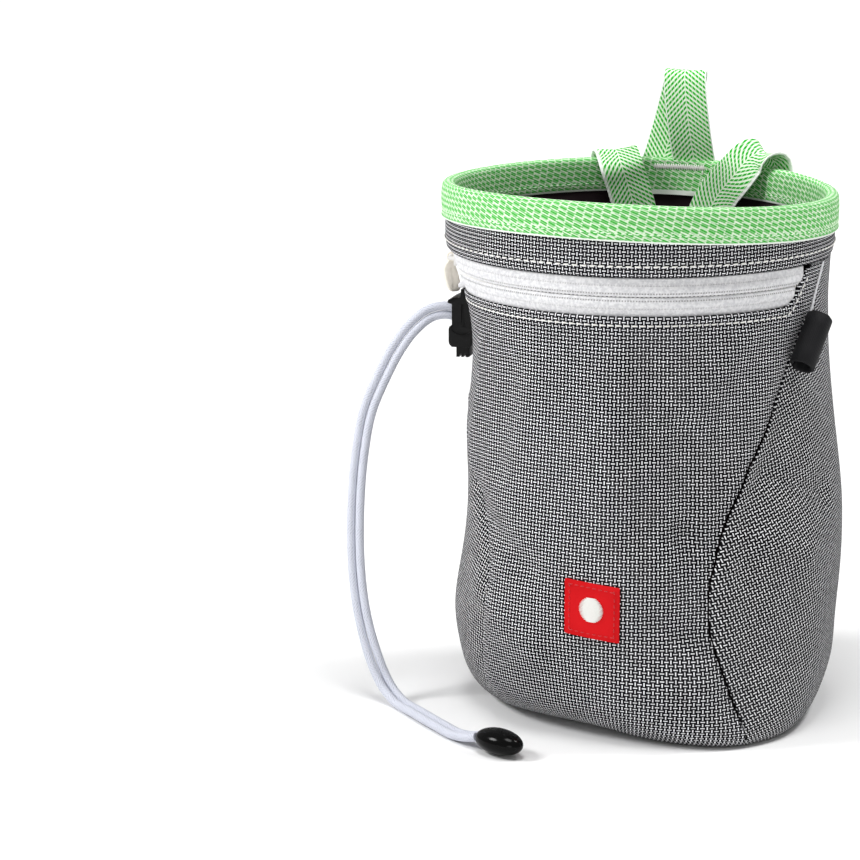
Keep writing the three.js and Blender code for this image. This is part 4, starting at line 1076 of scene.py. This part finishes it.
# %% One stitch and rows of it
STITCH_LONG = 2.3 * MM
STITCH_GAP = 0.75 * MM
STITCH_THICK = 0.62 * MM
STITCH_HIGH = 0.5 * MM


def model_stitch():
    bpy.ops.mesh.primitive_uv_sphere_add(
        segments=8, ring_count=7, radius=0.5, rotation=(0, math.pi / 2, 0))
    stitch = settle(bpy.context.object)
    stitch.name = "stitch_pattern"
    for vertex in stitch.data.vertices:
        dive = 0.6 * (2 * vertex.co.x) ** 2
        vertex.co.z -= dive
        vertex.co.y += 0.25 * vertex.co.x
    for face in stitch.data.polygons:
        face.use_smooth = True
    kept = stitch.data.copy()
    bpy.data.objects.remove(stitch)
    return kept


one_stitch = model_stitch()


def surface_of(piece):
    return BVHTree.FromPolygons(
        [vertex.co for vertex in piece.data.vertices],
        [tuple(face.vertices) for face in piece.data.polygons])


def joined(name, parts, finish):
    """One object from (mesh, matrix) pairs."""
    mesh = bmesh.new()
    for data, place in parts:
        start = len(mesh.verts)
        mesh.from_mesh(data)
        bmesh.ops.transform(mesh, matrix=place, verts=mesh.verts[start:])
    return object_of(mesh, name, finish)


def laid(place, normal, along, size, lift):
    """One stitch of a size that lies along a direction on a surface, as a mesh and a matrix."""
    along = (along - normal * along.dot(normal)).normalized()
    turn = Matrix((along, normal.cross(along), normal)).transposed().to_4x4()
    return one_stitch, Matrix.Translation(place + normal * lift) @ turn @ Matrix.Diagonal((*size, 1))


def stitch_row(name, surface, line, finish, slot, body="bag", scale=1.0, gap=STITCH_GAP,
               from_outside=False):
    """Lays stitches end to end along a line, on the nearest place of a surface, or straight in from
    the line towards the bag's axis."""
    long = STITCH_LONG * scale
    spaced = evenly(line, long + gap)
    parts = []
    for a, b in zip(spaced, spaced[1:]):
        middle = (a + b) / 2
        if from_outside:
            place, normal, _, _ = surface.ray_cast(middle, -outward(angle_of(middle)))
        else:
            place, normal, _, _ = surface.find_nearest(middle)
        size = (long, STITCH_THICK * scale, STITCH_HIGH * scale)
        parts.append(laid(place, normal, b - a, size, 0.1 * MM))
    return hand_over(joined(name, parts, finish), slot, body=body)


def round_line(start, end, radius, height_at, step=1.0):
    """Points round the bag from one angle to another, at the height that height_at gives."""
    count = int(abs(end - start) / step)
    angles = [start + (end - start) * n / count for n in range(count + 1)]
    return [polar(angle, radius, height_at(angle)) for angle in angles]


front_surface = surface_of(front)
band_surface = surface_of(top_band)
rim_surface = surface_of(rim_tape)
stitch_row("pocket_topstitch", front_surface, round_line(
    -84, 76, BODY_RADIUS + 12 * MM, lambda angle: pocket_edge(angle) - STITCH_LINE * MM),
    thread_finish, "zip_tape", from_outside=True)
stitch_row("band_topstitch", band_surface, round_line(
    -180, 180, BAND_RADIUS + 3 * MM, lambda angle: BAND_FOOT + STITCH_LINE * MM),
    thread_finish, "zip_tape")
for name, radius in (("rim_stitches", RIM_RADIUS), ("rim_inner_stitches", RIM_RADIUS - 2 * RIM_HALF)):
    row = stitch_row(name, rim_surface, round_line(
        -180, 180, radius, lambda angle: rim_top(angle) - RIM_STITCHES), rim_thread,
        "binding_webbing", scale=0.65)
print("A stitch has", len(one_stitch.polygons), "faces, the rim's inner row", len(row.data.polygons))

# %% [markdown]
# # The zip
# Both tapes are smooth white cloth that swells a little over the coil behind it and dips to the slit
# between them. The swell is modelled on level cuts. The rows of needle holes beside the slit and the
# fine slanting texture of the tape are too small to model, so the material draws them.

# %% Zip tapes
ZIP_SLIT = (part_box("zip_tape_lower")[1].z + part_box("zip_tape_upper")[0].z) / 2
TAPE_CUTS = (0.7, 1.2, 1.8, 2.6, 3.6, 4.6)
HOLE_ROWS = (1.15, 3.7)       # millimetres from the slit
HOLE_STEP = 0.9
TAPE_SINK, TAPE_TUCK = 1.1 * MM, 3 * MM       # how the lower tape's edge goes behind the hem


def zip_tape_cloth():
    pattern = Pattern("zip_tape_cloth")
    along, across = pattern.map_parts()
    from_slit = pattern.math("ABSOLUTE", across)
    rib = pattern.off_centre(pattern.times(pattern.add(along, pattern.times(across, 0.7)), 1 / 0.62))
    weft = pattern.off_centre(pattern.times(across, 1 / 0.5))
    hole = pattern.off_centre(pattern.times(along, 1 / HOLE_STEP))
    holes = None
    for row, depth in zip(HOLE_ROWS, (1.0, 0.35)):
        near = pattern.step(pattern.math("ABSOLUTE", pattern.less(from_slit, row)), 0.3, 0.12)
        dot = pattern.times(pattern.times(near, pattern.step(hole, 0.3, 0.15)), depth)
        holes = dot if holes is None else pattern.add(holes, dot)
    patchy = pattern.step(pattern.cloud(1000, 2), 0.35, 0.65)
    cloth = pattern.colour(patchy, (0.64, 0.64, 0.66, 1), (0.80, 0.80, 0.81, 1))
    height = pattern.less(
        pattern.add(pattern.times(rib, 0.5), pattern.times(weft, 0.3)), pattern.times(holes, 1.6))
    pattern.bump(height, 0.24 * MM, 0.9)
    # The needle holes are coloured darker than the tape: painted shade in the holes.
    return pattern.finish(
        pattern.colour(pattern.times(holes, 0.75), cloth, (0.25, 0.24, 0.23, 1)), Roughness=0.6,
        Sheen_Weight=0.15)


zip_cloth = zip_tape_cloth()


def zip_map(point, middle):
    angle = turned(angle_of(point), angle_of(middle))
    return (math.radians(angle) * BODY_RADIUS / MM, (point.z - ZIP_SLIT) / MM)


def coil_swell(from_slit):
    return 0.55 * MM * bell(from_slit - 2.1, 1.5) - 0.35 * MM * bell(from_slit, 0.45)


def zip_tape(node, name, side):
    piece = soft_copy(node, name, [ZIP_SLIT + side * cut * MM for cut in TAPE_CUTS], degrees=60)
    for vertex in piece.data.vertices:
        angle = angle_of(vertex.co)
        out = coil_swell(abs(vertex.co.z - ZIP_SLIT) / MM)
        out += 0.18 * MM * noise.noise(polar(angle, 3, vertex.co.z * 60))
        out += side_tuck(angle, vertex.co.z)
        if side < 0:
            tucked = smooth(2.2, 0.9, (vertex.co.z - pocket_edge(angle)) / MM)
            out -= tucked * TAPE_SINK
            vertex.co.z -= tucked * TAPE_TUCK
        vertex.co += outward(angle) * out
    return hand_over(dressed(piece, zip_cloth, zip_map), "zip_tape", node)


zip_tape("zip_tape_lower", "lower_zip_tape", -1)
upper_tape = zip_tape("zip_tape_upper", "upper_zip_tape", 1)
print("Zip slit at", round(ZIP_SLIT / MM, 1), "mm")

# %% [markdown]
# Behind the slit lies the zip's coil: a thin spiral of nylon on each tape. Little of it shows, only a
# grey line of fine teeth down in the slit. A row of short beans, one for each turn of the coil, fills
# the slit for anyone who looks close.

# %% The coil in the slit
COIL_STEP = 1.4 * MM
COIL_SUNK = 0.9 * MM
COIL_TURN = (2.2 * MM, 0.8 * MM, 0.5 * MM)
coil_line = round_line(
    ZIP_ENDS[0] + 9, ZIP_ENDS[1] - 3, BODY_RADIUS - COIL_SUNK, lambda angle: ZIP_SLIT)


def zip_coil():
    parts = []
    spaced = evenly(coil_line, COIL_STEP)
    for a, b in zip(spaced, spaced[1:]):
        angle = angle_of((a + b) / 2)
        out = outward(angle)
        place, _, _, _ = surface_of_tapes.find_nearest((a + b) / 2 + out * 2 * MM)
        seat = Vector((place.x, place.y, 0)).length - COIL_SUNK
        parts.append(laid(polar(angle, seat, ZIP_SLIT), out, UP, COIL_TURN, 0))
    return joined("zip_coil", parts, thread_finish)


surface_of_tapes = surface_of(upper_tape)
hand_over(zip_coil(), "zip_tape")

# %% [markdown]
# The slider is a small painted casting: a plate that rides on the coil and a bridge that carries the
# pull. The solid has their true size, so it is copied and its edges are bevelled. The pull hangs from
# the bridge's bar, and rides on its own body. Its paddle has a shallow groove down both faces.

# %% Slider and pull
def bevelled_copy(node, name, finish, width, shade=35):
    piece = clean_copy(node, name)
    finish_with(piece, "BEVEL", width=width, segments=3, limit_method="ANGLE",
                angle_limit=math.radians(30))
    piece.data.materials.append(finish)
    return smooth_shaded(piece, shade)


hand_over(bevelled_copy("zip_slider", "slider_casting", slider_finish, 0.16 * MM), "zip_metal",
          "zip_slider")


SLIDER_ANGLE = -86
PULL_TWIST = math.radians(35)
PULL_RING = 4 * MM            # height of the ring over the paddle
slider_out, slider_side = outward(SLIDER_ANGLE), sideways(SLIDER_ANGLE)
pull_across = slider_side * math.cos(PULL_TWIST) + slider_out * math.sin(PULL_TWIST)
pull_face = slider_out * math.cos(PULL_TWIST) - slider_side * math.sin(PULL_TWIST)
pull_low, pull_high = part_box("zip_pull")


def zip_pull():
    piece = soft_copy("zip_pull", "pull_tab", degrees=75, crease=0.35, levels=3)
    paddle_top = pull_high.z - PULL_RING
    middle = (pull_low + pull_high) / 2
    for vertex in piece.data.vertices:
        share = (paddle_top - vertex.co.z) / (paddle_top - pull_low.z)
        if 0.08 < share < 0.9:
            off = vertex.co - middle
            groove = bell(off.dot(pull_across) / MM, 0.55) * smooth(0.08, 0.25, share)
            groove *= smooth(0.9, 0.75, share)
            side = 1 if off.dot(pull_face) > 0 else -1
            vertex.co -= pull_face * side * groove * 0.4 * MM
    return dressed(piece, pull_finish, degrees=60)


hand_over(zip_pull(), "pull_plastic", "zip_pull", body="pull")
print("Pull of", [round(side / MM, 1) for side in pull_high - pull_low], "mm")

# %% [markdown]
# # The cord lock
# The lock is moulded in glossy black plastic: a housing with a lug for its strap, a hollow under the
# cords, and a button with grip teeth that springs out of its foot. Its outline is in the solid. Here
# its edges are rounded, and a shallow lens and a slot are cut into both cheeks with booleans, as the
# mould makes them. The button is a piece of its own, because it moves.

# %% Housing, button and strap
def lock_point(out, side, height):
    return polar(LOCK_ANGLE, lock_seat + out, height) + sideways(LOCK_ANGLE) * side


lock_low, lock_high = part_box("cord_lock_body")
LOCK_WIDE = 12 * MM
LOCK_DEEP = 8 * MM
lock_corner = max(
    (vertex.co for vertex in solids["cord_lock_body"].data.vertices), key=lambda point:
    point.dot(outward(LOCK_ANGLE)))
lock_seat = lock_corner.dot(outward(LOCK_ANGLE)) - 1.05 * LOCK_DEEP


def cut_out(piece, tool):
    finish_with(piece, "BOOLEAN", operation="DIFFERENCE", object=tool, solver="EXACT")
    bpy.data.objects.remove(tool)


def placed_tool(scale, out, side, height):
    """The solid that was just added, scaled and turned to face a cheek of the housing."""
    tool = bpy.context.object
    tool.scale = scale
    settle(tool)
    turn = Matrix((outward(LOCK_ANGLE), UP, outward(LOCK_ANGLE).cross(UP))).transposed().to_4x4()
    tool.data.transform(Matrix.Translation(lock_point(out, side, lock_low.z + height)) @ turn)
    return tool


def lens_tool(side):
    """A flattened drum that cuts a lens into one cheek of the housing."""
    bpy.ops.mesh.primitive_cylinder_add(vertices=48, radius=3.6 * MM, depth=1.6 * MM)
    return placed_tool((1, 0.62, 1), 3.4 * MM, side * (LOCK_WIDE / 2 + 0.3 * MM), 6.6 * MM)


def slot_tool(side):
    bpy.ops.mesh.primitive_cube_add(size=1)
    return placed_tool((1.1 * MM, 8 * MM, 1.4 * MM), 2.9 * MM, side * LOCK_WIDE / 2, 11 * MM)


def lock_housing():
    piece = clean_copy("cord_lock_body", "lock_housing")
    for side in (-1, 1):
        cut_out(piece, lens_tool(side))
        cut_out(piece, slot_tool(side))
    finish_with(piece, "BEVEL", width=0.3 * MM, segments=3, limit_method="ANGLE",
                angle_limit=math.radians(28), use_clamp_overlap=True)
    piece.data.materials.append(black_finish)
    return smooth_shaded(piece, 32)


hand_over(lock_housing(), "black_plastic", "cord_lock_body")
hand_over(bevelled_copy("cord_lock_button", "lock_button", black_finish, 0.22 * MM), "black_plastic",
          "cord_lock_button", body="button")


def lock_strap():
    piece = bevelled_copy("lock_strap", "lock_strap_tape", strap_finish, 0.3 * MM, shade=45)
    set_map(piece, lambda point, middle: (point.dot(sideways(LOCK_ANGLE)) / MM, point.z / MM))
    return piece


hand_over(lock_strap(), "white_tape", "lock_strap")
print("Lock", round((lock_high.z - lock_low.z) / MM, 1), "mm tall, seat at", round(lock_seat / MM, 1))

# %% [markdown]
# # Webbing
# The belt, its keeper and the hang loop are strips of flat webbing that twist and fold. Each solid is
# a row of thin rectangles, so its middle line and its slant can be read back from it: the rings are
# found by walking from one end of the strip to the other. A finer strip is then swept along them. It
# has rounded selvedges, and a map that follows the cloth.

# %% Rings of a strip
WEBBING_THICK = 1.2 * MM


def strip_rings(node, wide):
    """The corner points of a strip's rectangles, in order from one end."""
    mesh = bmesh.new()
    mesh.from_mesh(solids[node].data)
    bmesh.ops.remove_doubles(mesh, verts=mesh.verts, dist=MERGE)
    mesh.verts.ensure_lookup_table()
    patches, seen = [], set()
    for face in mesh.faces:
        if face in seen:
            continue
        patch, edge_of = [], [face]
        seen.add(face)
        while edge_of:
            current = edge_of.pop()
            patch.append(current)
            for edge in current.edges:
                if len(edge.link_faces) == 2 and edge.calc_face_angle() < math.radians(50):
                    for other in edge.link_faces:
                        if other not in seen:
                            seen.add(other)
                            edge_of.append(other)
        patches.append(patch)
    caps = [patch for patch in patches if len({v for face in patch for v in face.verts}) == 4
            and abs(sum(face.calc_area() for face in patch) / (wide * WEBBING_THICK) - 1) < 0.1]
    cap = min(caps, key=lambda patch: min(face.calc_center_median().z for face in patch))
    ring = {vertex for face in cap for vertex in face.verts}
    rings, visited = [], set()
    while ring:
        rings.append([vertex.co.copy() for vertex in ring])
        visited |= ring
        ring = {edge.other_vert(vertex) for vertex in ring for edge in vertex.link_edges} - visited
    mesh.free()
    return rings


def strip_frames(node, wide):
    """Middle and sideways direction of each rectangle."""
    frames, last = [], None
    for ring in strip_rings(node, wide):
        middle = sum(ring, Vector()) / len(ring)
        far = max((point - middle for point in ring), key=lambda reach: reach.length)
        across = sum(((point - middle) * math.copysign(1, (point - middle).dot(far))
                      for point in ring), Vector()).normalized()
        reference = last if last is not None else Vector((middle.x, 0, 0))
        if across.dot(reference) < 0:
            across = -across
        frames.append((middle, across))
        last = across
    return frames


for node, wide in (("belt", 15 * MM), ("belt_keeper", 20 * MM), ("hang_loop", 15 * MM)):
    print(node, len(strip_rings(node, wide)), "rings of", {len(r) for r in strip_rings(node, wide)})

# %% Sweeping webbing
STRIP_COLUMNS = 14
STRIP_STEP = 1.3 * MM


def strip_outline(half):
    """Across and height of each point round a strip's section, with rounded selvedges."""
    lay = [n / STRIP_COLUMNS * 2 - 1 for n in range(STRIP_COLUMNS + 1)]
    top = [(share * half, WEBBING_THICK / 2 * (
        0.86 - 0.3 * smooth(0.97, 1, abs(share)) + 0.14 * bell(abs(share) - 0.93, 0.05)
        - 0.12 * bell(share, 0.035))) for share in lay]
    return top + [(across, -height) for across, height in reversed(top)]


def webbing(name, node, wide, finish, slot, shape=lambda share, across: 0.0, tuck=0.0,
            press=lambda point: point):
    """A strip swept along its solid's rings. tuck lengthens both ends, to reach into a seam."""
    frames = [(press(middle), across) for middle, across in strip_frames(node, wide)]
    if tuck:
        for end, inner in ((0, 1), (-1, -2)):
            middle, across = frames[end]
            reach = (middle - frames[inner][0]).normalized()
            frames.insert(0 if end == 0 else len(frames), (middle + reach * tuck, across))
    line = smooth_line([middle for middle, _ in frames], 8)
    sides = [across for _, across in frames]
    outline = strip_outline(wide / 2)
    mesh = bmesh.new()
    layer = mesh.loops.layers.uv.new("UVMap")
    total = line_length(line)
    rows, length, wanted = [], 0.0, 0.0
    for k, point in enumerate(line):
        length += (point - line[k - 1]).length if k else 0
        if length + 1e-9 < wanted and k < len(line) - 1:
            continue
        wanted = length + STRIP_STEP
        station = k / 8
        row = min(int(station), len(sides) - 2)
        across = sides[row].lerp(sides[row + 1], station - row)
        along = (line[min(k + 1, len(line) - 1)] - line[max(k - 1, 0)]).normalized()
        across = (across - along * across.dot(along)).normalized()
        face = along.cross(across)
        rows.append((length, [mesh.verts.new(
            point + across * side + face * (height + shape(length / total, side)))
            for side, height in outline]))
    corners = len(outline)
    for (start, near), (end, far) in zip(rows, rows[1:]):
        for n in range(corners):
            m = (n + 1) % corners
            quad = mesh.faces.new((near[n], far[n], far[m], near[m]))
            for loop, at, place in zip(quad.loops, (start, end, end, start), (n, n, m, m)):
                loop[layer].uv = (at / MM, outline[place][0] / MM)
    for length, ring in (rows[0], rows[-1]):
        cap = mesh.faces.new(ring)
        for loop, (side, _) in zip(cap.loops, outline):
            loop[layer].uv = (length / MM, side / MM)
    bmesh.ops.recalc_face_normals(mesh, faces=mesh.faces)
    return hand_over(smooth_shaded(object_of(mesh, name, finish), 60), slot, node)


def cupped(share, side):
    """Webbing under tension curls very slightly across its width."""
    return -0.25 * MM * (side / (7.5 * MM)) ** 2


def over_rim(point):
    """The belt's right leg lies close over the rim, so its crest is pressed down a little."""
    high = max(point.z - 179.5 * MM, 0) * smooth(0, 12, point.x / MM)
    return point - UP * 0.5 * high


belt = webbing("waist_belt", "belt", 15 * MM, belt_finish, "belt_webbing", cupped, press=over_rim)
keeper = webbing("keeper_strip", "belt_keeper", 20 * MM, belt_finish, "belt_webbing")
hang_loop = webbing("hang_loop_strip", "hang_loop", 15 * MM, loop_finish, "belt_webbing", cupped,
                    tuck=4 * MM)
print("Webbing faces:", [len(piece.data.polygons) for piece in (belt, keeper, hang_loop)])

# %% [markdown]
# # Brush loop
# A short tube of black grosgrain sewn into the right seam, which holds a brush. Its ribs run along
# the tube. The tube's axis is read from the middles of its two end faces, and the map wraps round it.

# %% Brush loop
def brush_loop():
    piece = clean_copy("brush_loop", "brush_loop_tube")
    points = [vertex.co.copy() for vertex in piece.data.vertices]
    middle = sum(points, Vector()) / len(points)
    along = max((a - b for a in points for b in points), key=lambda reach: reach.length)
    along = sum(((point - middle) * math.copysign(1, (point - middle).dot(along))
                 for point in points), Vector()).normalized()
    out = outward(angle_of(middle))
    out = (out - along * out.dot(along)).normalized()
    across = along.cross(out)
    crease_sharp_edges(piece, 60)
    subdivided(piece, 2)
    for vertex in piece.data.vertices:
        reach = vertex.co - middle
        ripple = 0.14 * MM * noise.noise(reach * 260)
        radial = (reach - along * reach.dot(along)).normalized()
        vertex.co += radial * ripple

    def tube_map(point, face_middle):
        def turn(place):
            reach = place - middle
            return math.degrees(math.atan2(reach.dot(across), reach.dot(out)))
        angle = turned(turn(point), turn(face_middle))
        return (math.radians(angle) * 4.5, (point - middle).dot(along) / MM)

    set_map(piece, tube_map)
    piece.data.materials.append(grosgrain_finish)
    return smooth_shaded(piece, 50)


hand_over(brush_loop(), "black_webbing", "brush_loop")

# %% [markdown]
# # Label
# The small red label is woven cloth, sewn down on all four sides after its top edge is folded. It is
# bare but for a plain embroidered disc, because a label's words and marks don't belong on the part.

# %% Label
LABEL_SIDE = 18.2 * MM
label_low, label_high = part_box("label")
label_middle = (label_low + label_high) / 2


def label_place(across, up):
    """A point over the label, from shares of its half side."""
    skew = across * LABEL_SIDE / 2 * math.tan(math.radians(-6.5))
    place = label_middle + Vector((across, 0, up)) * LABEL_SIDE / 2 + Vector((0, 0, skew))
    return place - Vector((0, 2 * MM, 0))


def label():
    piece = clean_copy("label", "sewn_label")
    crease_sharp_edges(piece)
    subdivided(piece, 3)
    for vertex in piece.data.vertices:
        across = (vertex.co.x - label_middle.x) / (LABEL_SIDE / 2)
        up = (vertex.co.z - label_middle.z) / (LABEL_SIDE / 2) + across * math.tan(math.radians(6.5))
        edge = max(abs(across), abs(up))
        lift = 0.25 * smooth(0.98, 0.8, edge) + 0.35 * bell(up - 0.86, 0.08)
        lift -= 0.22 * bell(edge - 0.9, 0.05)
        vertex.co.y -= lift * MM
    set_map(piece, lambda point, middle: (point.x / MM, point.z / MM))
    piece.data.materials.append(label_finish)
    return smooth_shaded(piece)


sewn_label = hand_over(label(), "label_cloth", "label")
label_surface = surface_of(sewn_label)
EDGE = 0.88
corners = [label_place(x * EDGE, z * EDGE) for x, z in ((-1, 1), (1, 1), (1, -1), (-1, -1), (-1, 1))]
red_thread = solid_finish("red_thread_finish", (0.5, 0.01, 0.015, 1), 0.6, 2500, 0.05, sheen=0.2)
for number, (a, b) in enumerate(zip(corners, corners[1:])):
    stitch_row(f"label_stitches_{number + 1}", label_surface, [a.lerp(b, n / 12) for n in range(13)],
               red_thread, "label_cloth", scale=0.62, gap=0.5 * MM)


def embroidered_disc():
    """A small round of level satin stitches."""
    parts, radius, step = [], 4.2 * MM, 0.42 * MM
    rows = int(2 * radius / step)
    for n in range(rows + 1):
        rise = -radius + n * step
        half = math.sqrt(max(radius ** 2 - rise ** 2, 0))
        if half < 0.4 * MM:
            continue
        place, normal, _, _ = label_surface.find_nearest(
            label_place(0.0, 0.05) + Vector((0, 0, rise)))
        along = Vector((1, 0, -0.114))
        along = (along - normal * along.dot(normal)).normalized()
        frame_at = Matrix((along, normal.cross(along), normal)).transposed().to_4x4()
        size = Matrix.Diagonal((2 * half, step * 1.25, 0.3 * MM, 1))
        parts.append((one_stitch, Matrix.Translation(place + normal * 0.22 * MM) @ frame_at @ size))
    return joined("label_disc", parts, thread_finish)


hand_over(embroidered_disc(), "label_cloth")
print("Label stands at", [round(part / MM, 1) for part in label_middle], "mm")

# %% [markdown]
# # Bartacks
# Where webbing takes a load it is sewn down with a bartack: a tight zigzag over a few millimetres.
# There is one across the overlap of the rim's binding at the back, and one at each end of the keeper.

# %% Bartacks
def zigzag(name, surface, middle, along, up, long, high, turns, finish, slot):
    """A bartack: a tight zigzag of stitches on a surface, long by high."""
    line = []
    for n in range(turns * 2 + 1):
        share = n / (turns * 2) - 0.5
        line.append(middle + along * share * long + up * high * (0.5 if n % 2 else -0.5))
    parts = []
    for a, b in zip(line, line[1:]):
        place, normal, _, _ = surface.find_nearest((a + b) / 2)
        run = (b - a) - normal * (b - a).dot(normal)
        frame_at = Matrix((run.normalized(), normal.cross(run.normalized()), normal))
        size = Matrix.Diagonal((run.length * 1.15, 0.45 * MM, 0.42 * MM, 1))
        parts.append((one_stitch, Matrix.Translation(
            place + normal * 0.12 * MM) @ frame_at.transposed().to_4x4() @ size))
    return hand_over(joined(name, parts, finish), slot)


INNER_RADIUS = RIM_RADIUS - 2 * RIM_HALF
FLAP_FROM, FLAP_TO = 174.2, 204
FLAP_CORNER = 4 * MM
FLAP_OUT = 0.7 * MM


def binding_flap():
    """The end of the binding, lapped over its beginning on the inside of the rim."""
    rows, columns = 16, 40
    bpy.ops.mesh.primitive_grid_add(x_subdivisions=columns, y_subdivisions=rows, size=2)
    piece = bpy.context.object
    piece.name = "binding_flap"
    for vertex in piece.data.vertices:
        share, depth = (vertex.co.x + 1) / 2, (vertex.co.y + 1) / 2 * BINDING_LEG
        from_edge = max(FLAP_CORNER - min(depth, BINDING_LEG - depth), 0)
        rounded = FLAP_CORNER - math.sqrt(FLAP_CORNER ** 2 - from_edge ** 2)
        start = FLAP_FROM + math.degrees(rounded / INNER_RADIUS)
        angle = start + (FLAP_TO - start) * share
        rest = smooth(0.5, 0, share) * smooth(0.02, 0.2, share) * 0.25 * MM
        vertex.co = polar(
            angle, INNER_RADIUS - FLAP_OUT - rest, rim_top(angle) - 0.9 * MM - depth)
    finish_with(piece, "SOLIDIFY", thickness=0.6 * MM, offset=0)
    in_edit_mode(piece, lambda: bpy.ops.mesh.normals_make_consistent(inside=False))
    set_map(piece, binding_map)
    piece.data.materials.append(binding_finish)
    return smooth_shaded(piece, 50)


flap = hand_over(binding_flap(), "binding_webbing")
flap_surface = surface_of(flap)
flap_middle = polar(183.8, INNER_RADIUS - 2 * MM, rim_top(183.8) - 3 * MM)
zigzag("binding_bartack", flap_surface, flap_middle, sideways(183.8), UP, 18 * MM, 2.2 * MM, 22,
       thread_finish, "binding_webbing")
stitch_row("flap_end_stitches", flap_surface, [
    polar(FLAP_FROM + 1.6, INNER_RADIUS - 2 * MM, rim_top(174) - depth * MM) for depth in (3, 6, 9, 12)],
    thread_finish, "binding_webbing", scale=0.8)

# %% Bartacks of the keeper
keeper_surface = surface_of(keeper)
keeper_low, keeper_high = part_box("belt_keeper")
for place, height in (("lower", keeper_low.z + 2.6 * MM), ("upper", keeper_high.z - 2.6 * MM)):
    zigzag(f"keeper_bartack_{place}", keeper_surface, polar(180, 68 * MM, height), sideways(180), UP,
           16 * MM, 2.2 * MM, 20, thread_finish, "belt_webbing")

# %% [markdown]
# At the right end of the zip a thin white facing shows between the pocket and the gusset. It is a
# flat strip that follows the seam, so it is swept along the seam's points.

# %% White facing in the right seam
def seam_facing():
    line = []
    for n in range(15):
        height = (152.6 - n * 1.25) * MM
        angle = at_height(right_seam, height) + 0.5
        start = polar(angle, 0.09, height)
        place, _, _, _ = gusset_surface.ray_cast(start, -outward(angle))
        line.append((place or polar(angle, BODY_RADIUS, height)) + outward(angle) * 0.15 * MM)
    piece = swept_tube("seam_facing", evenly(smooth_line(line, 4), 0.7 * MM),
                       lambda turn, length: 0.42 * MM, 10)
    piece.data.materials.append(strap_finish)
    return smooth_shaded(piece, 60)


gusset_surface = surface_of(right_gusset)
hand_over(seam_facing(), "zip_tape")
